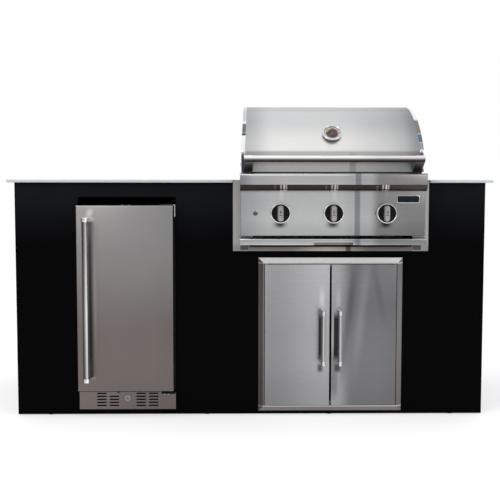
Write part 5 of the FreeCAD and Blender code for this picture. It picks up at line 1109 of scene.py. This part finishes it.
IGNITER_R, IGNITER_FLANGE, BUTTON_R = 0.0095, 0.0025, 0.006
seat = np.array([node_box("igniter_body")[2][0], FACE_Y, KNOB_Z])
piece("igniter_ring", "island", "polished", CHROME_SHADE,
    turned(seat, TOWARDS,
        [(BUTTON_R + 0.0004, -0.002), (IGNITER_R - 0.0002, -0.002), (IGNITER_R, 0.0002),
            (IGNITER_R - 0.0006, 0.0016), (IGNITER_R - 0.0016, IGNITER_FLANGE),
            (BUTTON_R + 0.0012, IGNITER_FLANGE), (BUTTON_R + 0.0004, 0.0018),
            (BUTTON_R + 0.0004, -0.002)], 56), stands_for=("igniter_body",))
piece("igniter_cap", "igniter", "polished", CHROME_CAP,
    turned(seat, TOWARDS, [(0.0, -0.01), (BUTTON_R - 0.0001, -0.01), (BUTTON_R - 0.0001, 0.0064),
            (BUTTON_R - 0.001, 0.0076), (BUTTON_R - 0.0028, 0.008), (0.0, 0.008)], 48),
    stands_for=("igniter_button",))

SILL_HALF = 0.3195
SILL_LOW, _, SILL_MID = node_box("liner_flange")
SILL_TOP = 0.6668
piece("liner_sill", "island", "brushed_dark", STEEL_SILL,
    soft_box((SILL_MID[0] - SILL_HALF, SILL_LOW[1] - 0.0006, SILL_LOW[2] + 0.0002),
        (SILL_MID[0] + SILL_HALF, SILL_LOW[1] + 0.0012, SILL_TOP), 0.0005))
RAIL_OUT, RAIL_GAP = 0.0325, 0.0012      # the tray guides' ends, outside the sill


def rail_end(side):
    """The front end of one tray guide, a gap away from the sill."""
    low, high = sorted(SILL_MID[0] + side * (SILL_HALF + RAIL_GAP + out) for out in (0, RAIL_OUT))
    return soft_box((low, SILL_LOW[1] - 0.0008, SILL_LOW[2] + 0.004),
        (high, SILL_LOW[1] + 0.001, TRAY_LOW[2] + 0.004), 0.0005)


piece("tray_guide_ends", "island", "brushed_dark", STEEL_RAIL, rail_end(-1), rail_end(1))

# ---------------------------------------------------------------- slab and cabinet

for node in ("counter_left", "counter_right", "counter_back"):
    low, high, _ = node_box(node)
    piece("slab_" + node.split("_")[1], "island", "slab", SLAB, soft_box(low, high, 0.0015, 3),
        stands_for=(node,), sharp=60)

# ---------------------------------------------------------------- refrigerator door and handle

DOOR_LOW, DOOR_HIGH, _ = node_box("fridge_door")
DOOR_FRONT, DOOR_BACK = DOOR_LOW[1], FRONT - 0.01
LOCK_HIGH, LOCK_MID = node_box("fridge_lock_plug")[1:]
# The door's skin stops short of the pocket that the lock's cam sweeps in the door's foot
CAM_DEEP, CAM_REACH = 0.0058, 0.0435
STEP_Y, STEP_Z = LOCK_HIGH[1] - CAM_DEEP, LOCK_MID[2] + CAM_REACH
SKIN_OUT, SKIN_EDGE = 0.0004, 0.0025
piece("fridge_door_skin", "fridge_door", "brushed_dark", STEEL_COOLER,
    soft_box((DOOR_LOW[0] - SKIN_OUT, DOOR_FRONT - 0.0003, DOOR_LOW[2] - 0.0003),
        (DOOR_HIGH[0] + SKIN_OUT, STEP_Y, DOOR_HIGH[2] + 0.0003), SKIN_EDGE, 4),
    soft_box((DOOR_LOW[0] - SKIN_OUT + 5e-5, STEP_Y - 2.4 * SKIN_EDGE, STEP_Z),
        (DOOR_HIGH[0] + SKIN_OUT - 5e-5, DOOR_BACK - 0.004, DOOR_HIGH[2] + 0.00025), SKIN_EDGE, 4),
    sharp=60)

PULL_LOW, PULL_HIGH, _ = node_box("fridge_handle")
PULL_R, PULL_CAP, PULL_END = 0.01075, 0.002, 0.015
PULL_IN = PULL_END * 0.6        # the bar ends inside its brackets
PULL_LONG = PULL_HIGH[2] - PULL_LOW[2] - 2 * PULL_IN
PULL_X, PULL_Y = PULL_LOW[0] + PULL_R + PULL_CAP, PULL_LOW[1] + PULL_R + PULL_CAP


def pull_bracket(z0):
    """Flat end bracket: a plan outline that runs round the bar and sweeps back to the door,
    carried up through its thickness with eased edges."""
    r = PULL_R + PULL_CAP
    a = np.linspace(np.pi, 2 * np.pi, 15)
    nose = np.stack([PULL_X + r * np.cos(a), PULL_Y + r * np.sin(a)], -1)
    t = np.linspace(0, 1, 10)[:, None]
    side = np.array([PULL_X + r, PULL_Y])
    foot = np.array([PULL_X + 2.5 * PULL_R, DOOR_FRONT])
    sweep = curve(side, np.array([PULL_X + 1.3 * r, DOOR_FRONT - 0.016]), foot, t)
    outline = np.concatenate([nose, sweep[1:], [[PULL_X - r, DOOR_FRONT]]])
    return carried(outline, "z", z0, z0 + PULL_END, rim=0.0012)


piece("fridge_handle_bar", "fridge_door", "brushed", STEEL_BAR,
    rod((PULL_X, PULL_Y, PULL_LOW[2] + PULL_IN), UP, PULL_R, 0, PULL_LONG, 56))
piece("fridge_handle_brackets", "fridge_door", "brushed", STEEL_BRACKET, pull_bracket(PULL_LOW[2]),
    pull_bracket(PULL_HIGH[2] - PULL_END), stands_for=("fridge_handle",), sharp=40)


def screw(x, y, z, radius, tall, way):
    """A domed screw head: its height over the plate is h(r) = tall (1 - (r / radius)^2)."""
    r = radius * np.linspace(0, 1, 6)[::-1]
    h = tall * (1 - (r / radius) ** 2)
    return turned((x, y, z), way, [(0.0, -0.0004), (radius, -0.0004), *zip(r, h)], 24)


CASE_LOW, CASE_HIGH, _ = node_box("fridge_cabinet")
KICK_LOW = node_box("fridge_kick_plate")[0]
# Small screws: two in the case's head, by x from its left side, and two in the plinth under the
# foot hinge, by x from its right side
CASE_SCREWS, CASE_SCREW_R, CASE_SCREW_H = (0.1695, 0.1953), 0.0028, 0.0028
PLINTH_SCREWS, PLINTH_SCREW_UP, PLINTH_SCREW_R = (0.0283, 0.045), 0.06, 0.0022
piece("case_screws", "island", "polished", CHROME,
    *[screw(CASE_LOW[0] + x, CASE_LOW[1] + 0.006, CASE_HIGH[2], CASE_SCREW_R, CASE_SCREW_H, UP)
        for x in CASE_SCREWS])
piece("plinth_screws", "island", "polished", CHROME,
    *[screw(CASE_HIGH[0] - x, KICK_LOW[1], KICK_LOW[2] + PLINTH_SCREW_UP, PLINTH_SCREW_R, 0.001,
            TOWARDS) for x in PLINTH_SCREWS])

# ---------------------------------------------------------------- access doors

PULL_BAR_R, RING_OUT = 0.008, 0.0009
for side, steel in (("left", STEEL_LEAF_L), ("right", STEEL_LEAF_R)):
    low, high, _ = node_box("access_door_" + side)
    piece("access_leaf_" + side, "door_" + side, "brushed", steel, soft_box(low, high, 0.0018, 4),
        stands_for=("access_door_" + side,), sharp=60)
    glow, ghigh, gmid = node_box("access_handle_" + side)
    r = PULL_BAR_R
    x, y, length = gmid[0], glow[1] + r, ghigh[2] - glow[2]
    tall, back = RING_TALL, ghigh[1] - y
    bar = turned((x, y, glow[2]), UP,
        [(0.0, 0.0), (r - 0.0008, 0.0), (r, 0.0008), (r, tall - 0.0006), (r - RING_OUT, tall),
            (r - RING_OUT, length - tall), (r, length - tall + 0.0006), (r, length - 0.0008),
            (r - 0.0008, length), (0.0, length)], 48)
    posts = [turned((x, y, z), -TOWARDS,
            [(0.0, 0.002), (0.0052, 0.002), (0.0048, 0.012), (0.0048, back - 0.006),
                (0.0078, back - 0.0035), (0.0082, back - 0.001), (0.0082, back), (0.0, back)], 32)
        for z in (glow[2] + r, ghigh[2] - r)]
    piece("access_pull_" + side, "door_" + side, "brushed", STEEL_PULL, bar, *posts,
        stands_for=("access_handle_" + side,), sharp=35)


# ---------------------------------------------------------------- stage, light and camera

FLOOR_HALF, FLOOR_TONE, FLOOR_GLOW = 9, 0.62, 0.45
ROOM_LOW, ROOM_HIGH = 0.62, 1.0
SENSOR = 36.0


def studio_floor():
    """A wide matt white floor that keeps a soft shadow and reads as white in view and in
    reflections."""
    material = bpy.data.materials.new("white_floor")
    material.use_nodes = True
    tree = material.node_tree
    tree.nodes.remove(tree.nodes["Principled BSDF"])
    matt = add(tree, "BsdfDiffuse", [("Color", rgba(FLOOR_TONE))])
    glow = add(tree, "Emission", [("Color", rgba(1.0)), ("Strength", FLOOR_GLOW)])
    both = add(tree, "AddShader", [(0, matt.outputs[0]), (1, glow.outputs[0])])
    ray = add(tree, "LightPath").outputs
    shown = number(tree, "MAXIMUM", ray["Is Camera Ray"], ray["Is Glossy Ray"])
    mix = add(tree, "MixShader", [(0, shown), (1, matt.outputs[0]), (2, both.outputs[0])])
    tree.links.new(mix.outputs[0], tree.nodes["Material Output"].inputs[0])
    h = FLOOR_HALF
    mesh = bpy.data.meshes.new("studio_floor")
    mesh.from_pydata([(-h, -h, 0), (h, -h, 0), (h, h, 0), (-h, h, 0)], [], [list(range(4))])
    mesh.materials.append(material)
    thing = placed("studio_floor", mesh)


def either(tree, share, a, b):
    """A number between two, by a share from 0 to 1."""
    return add(tree, "Mix", [("Factor", share), (2, a), (3, b)], data_type="FLOAT").outputs[0]


def studio_world():
    """White behind the object. Other rays meet a plain room: pale above and behind, greyer low
    in front."""
    world = bpy.data.worlds.new("studio")
    bpy.context.scene.world = world
    world.use_nodes = True
    tree = world.node_tree
    tree.nodes.clear()
    split = add(tree, "SeparateXYZ", [(0, here(tree, "Generated"))]).outputs
    height = ramp(tree, split[2], -0.1, 0.9, ROOM_LOW, ROOM_HIGH)
    lit = either(tree, ramp(tree, split[1], 0.0, 0.5, how="LINEAR"), height, 1.0)
    level = either(tree, add(tree, "LightPath").outputs["Is Camera Ray"], lit, 1.0)
    glow = add(tree, "Background", [("Color", rgba(1.0)), ("Strength", level)])
    add(tree, "OutputWorld", [(0, glow.outputs[0])])


def soft_lamp(name, place, aim, size, watts):
    """A square soft box at place, turned to aim."""
    lamp = bpy.data.lights.new(name, "AREA")
    lamp.shape, lamp.size, lamp.energy = "SQUARE", size, watts
    thing = placed(name, lamp)
    thing.location = place
    thing.rotation_mode = "QUATERNION"
    thing.rotation_quaternion = Vector(np.subtract(place, aim)).to_track_quat("Z", "Y")


def set_camera(place, yaw, pitch, roll, lens):
    """Looks along +Y, turned to the right by yaw, down by pitch, then rolled."""
    fwd = np.array([math.sin(yaw) * math.cos(pitch), math.cos(yaw) * math.cos(pitch),
            -math.sin(pitch)])
    right = np.array([math.cos(yaw), -math.sin(yaw), 0.0])
    under = np.cross(fwd, right)
    c, s = math.cos(roll), math.sin(roll)
    right, under = c * right + s * under, -s * right + c * under
    camera = bpy.data.cameras.new("photo_view")
    camera.lens, camera.sensor_width = lens, SENSOR
    thing = placed("photo_view", camera)
    turn = Matrix(np.stack([right, -under, -fwd], -1).tolist()).to_4x4()
    thing.matrix_world = Matrix.Translation(place) @ turn
    bpy.context.scene.camera = thing


studio_world()
studio_floor()
soft_lamp("key_box", (-1.8, -3.0, 2.6), (0.0, 0.0, 0.7), 1.6, 40)
soft_lamp("fill_box", (2.4, -2.6, 1.8), (0.2, 0.0, 0.6), 1.4, 16)
set_camera((-0.0495, -3.72925, 0.9022), 0.01381, 0.0729, -0.00083, 62.9)
scene = bpy.context.scene
scene.view_settings.view_transform = "Standard"


# ---------------------------------------------------------------- sizes

low, high = CAD_BOX
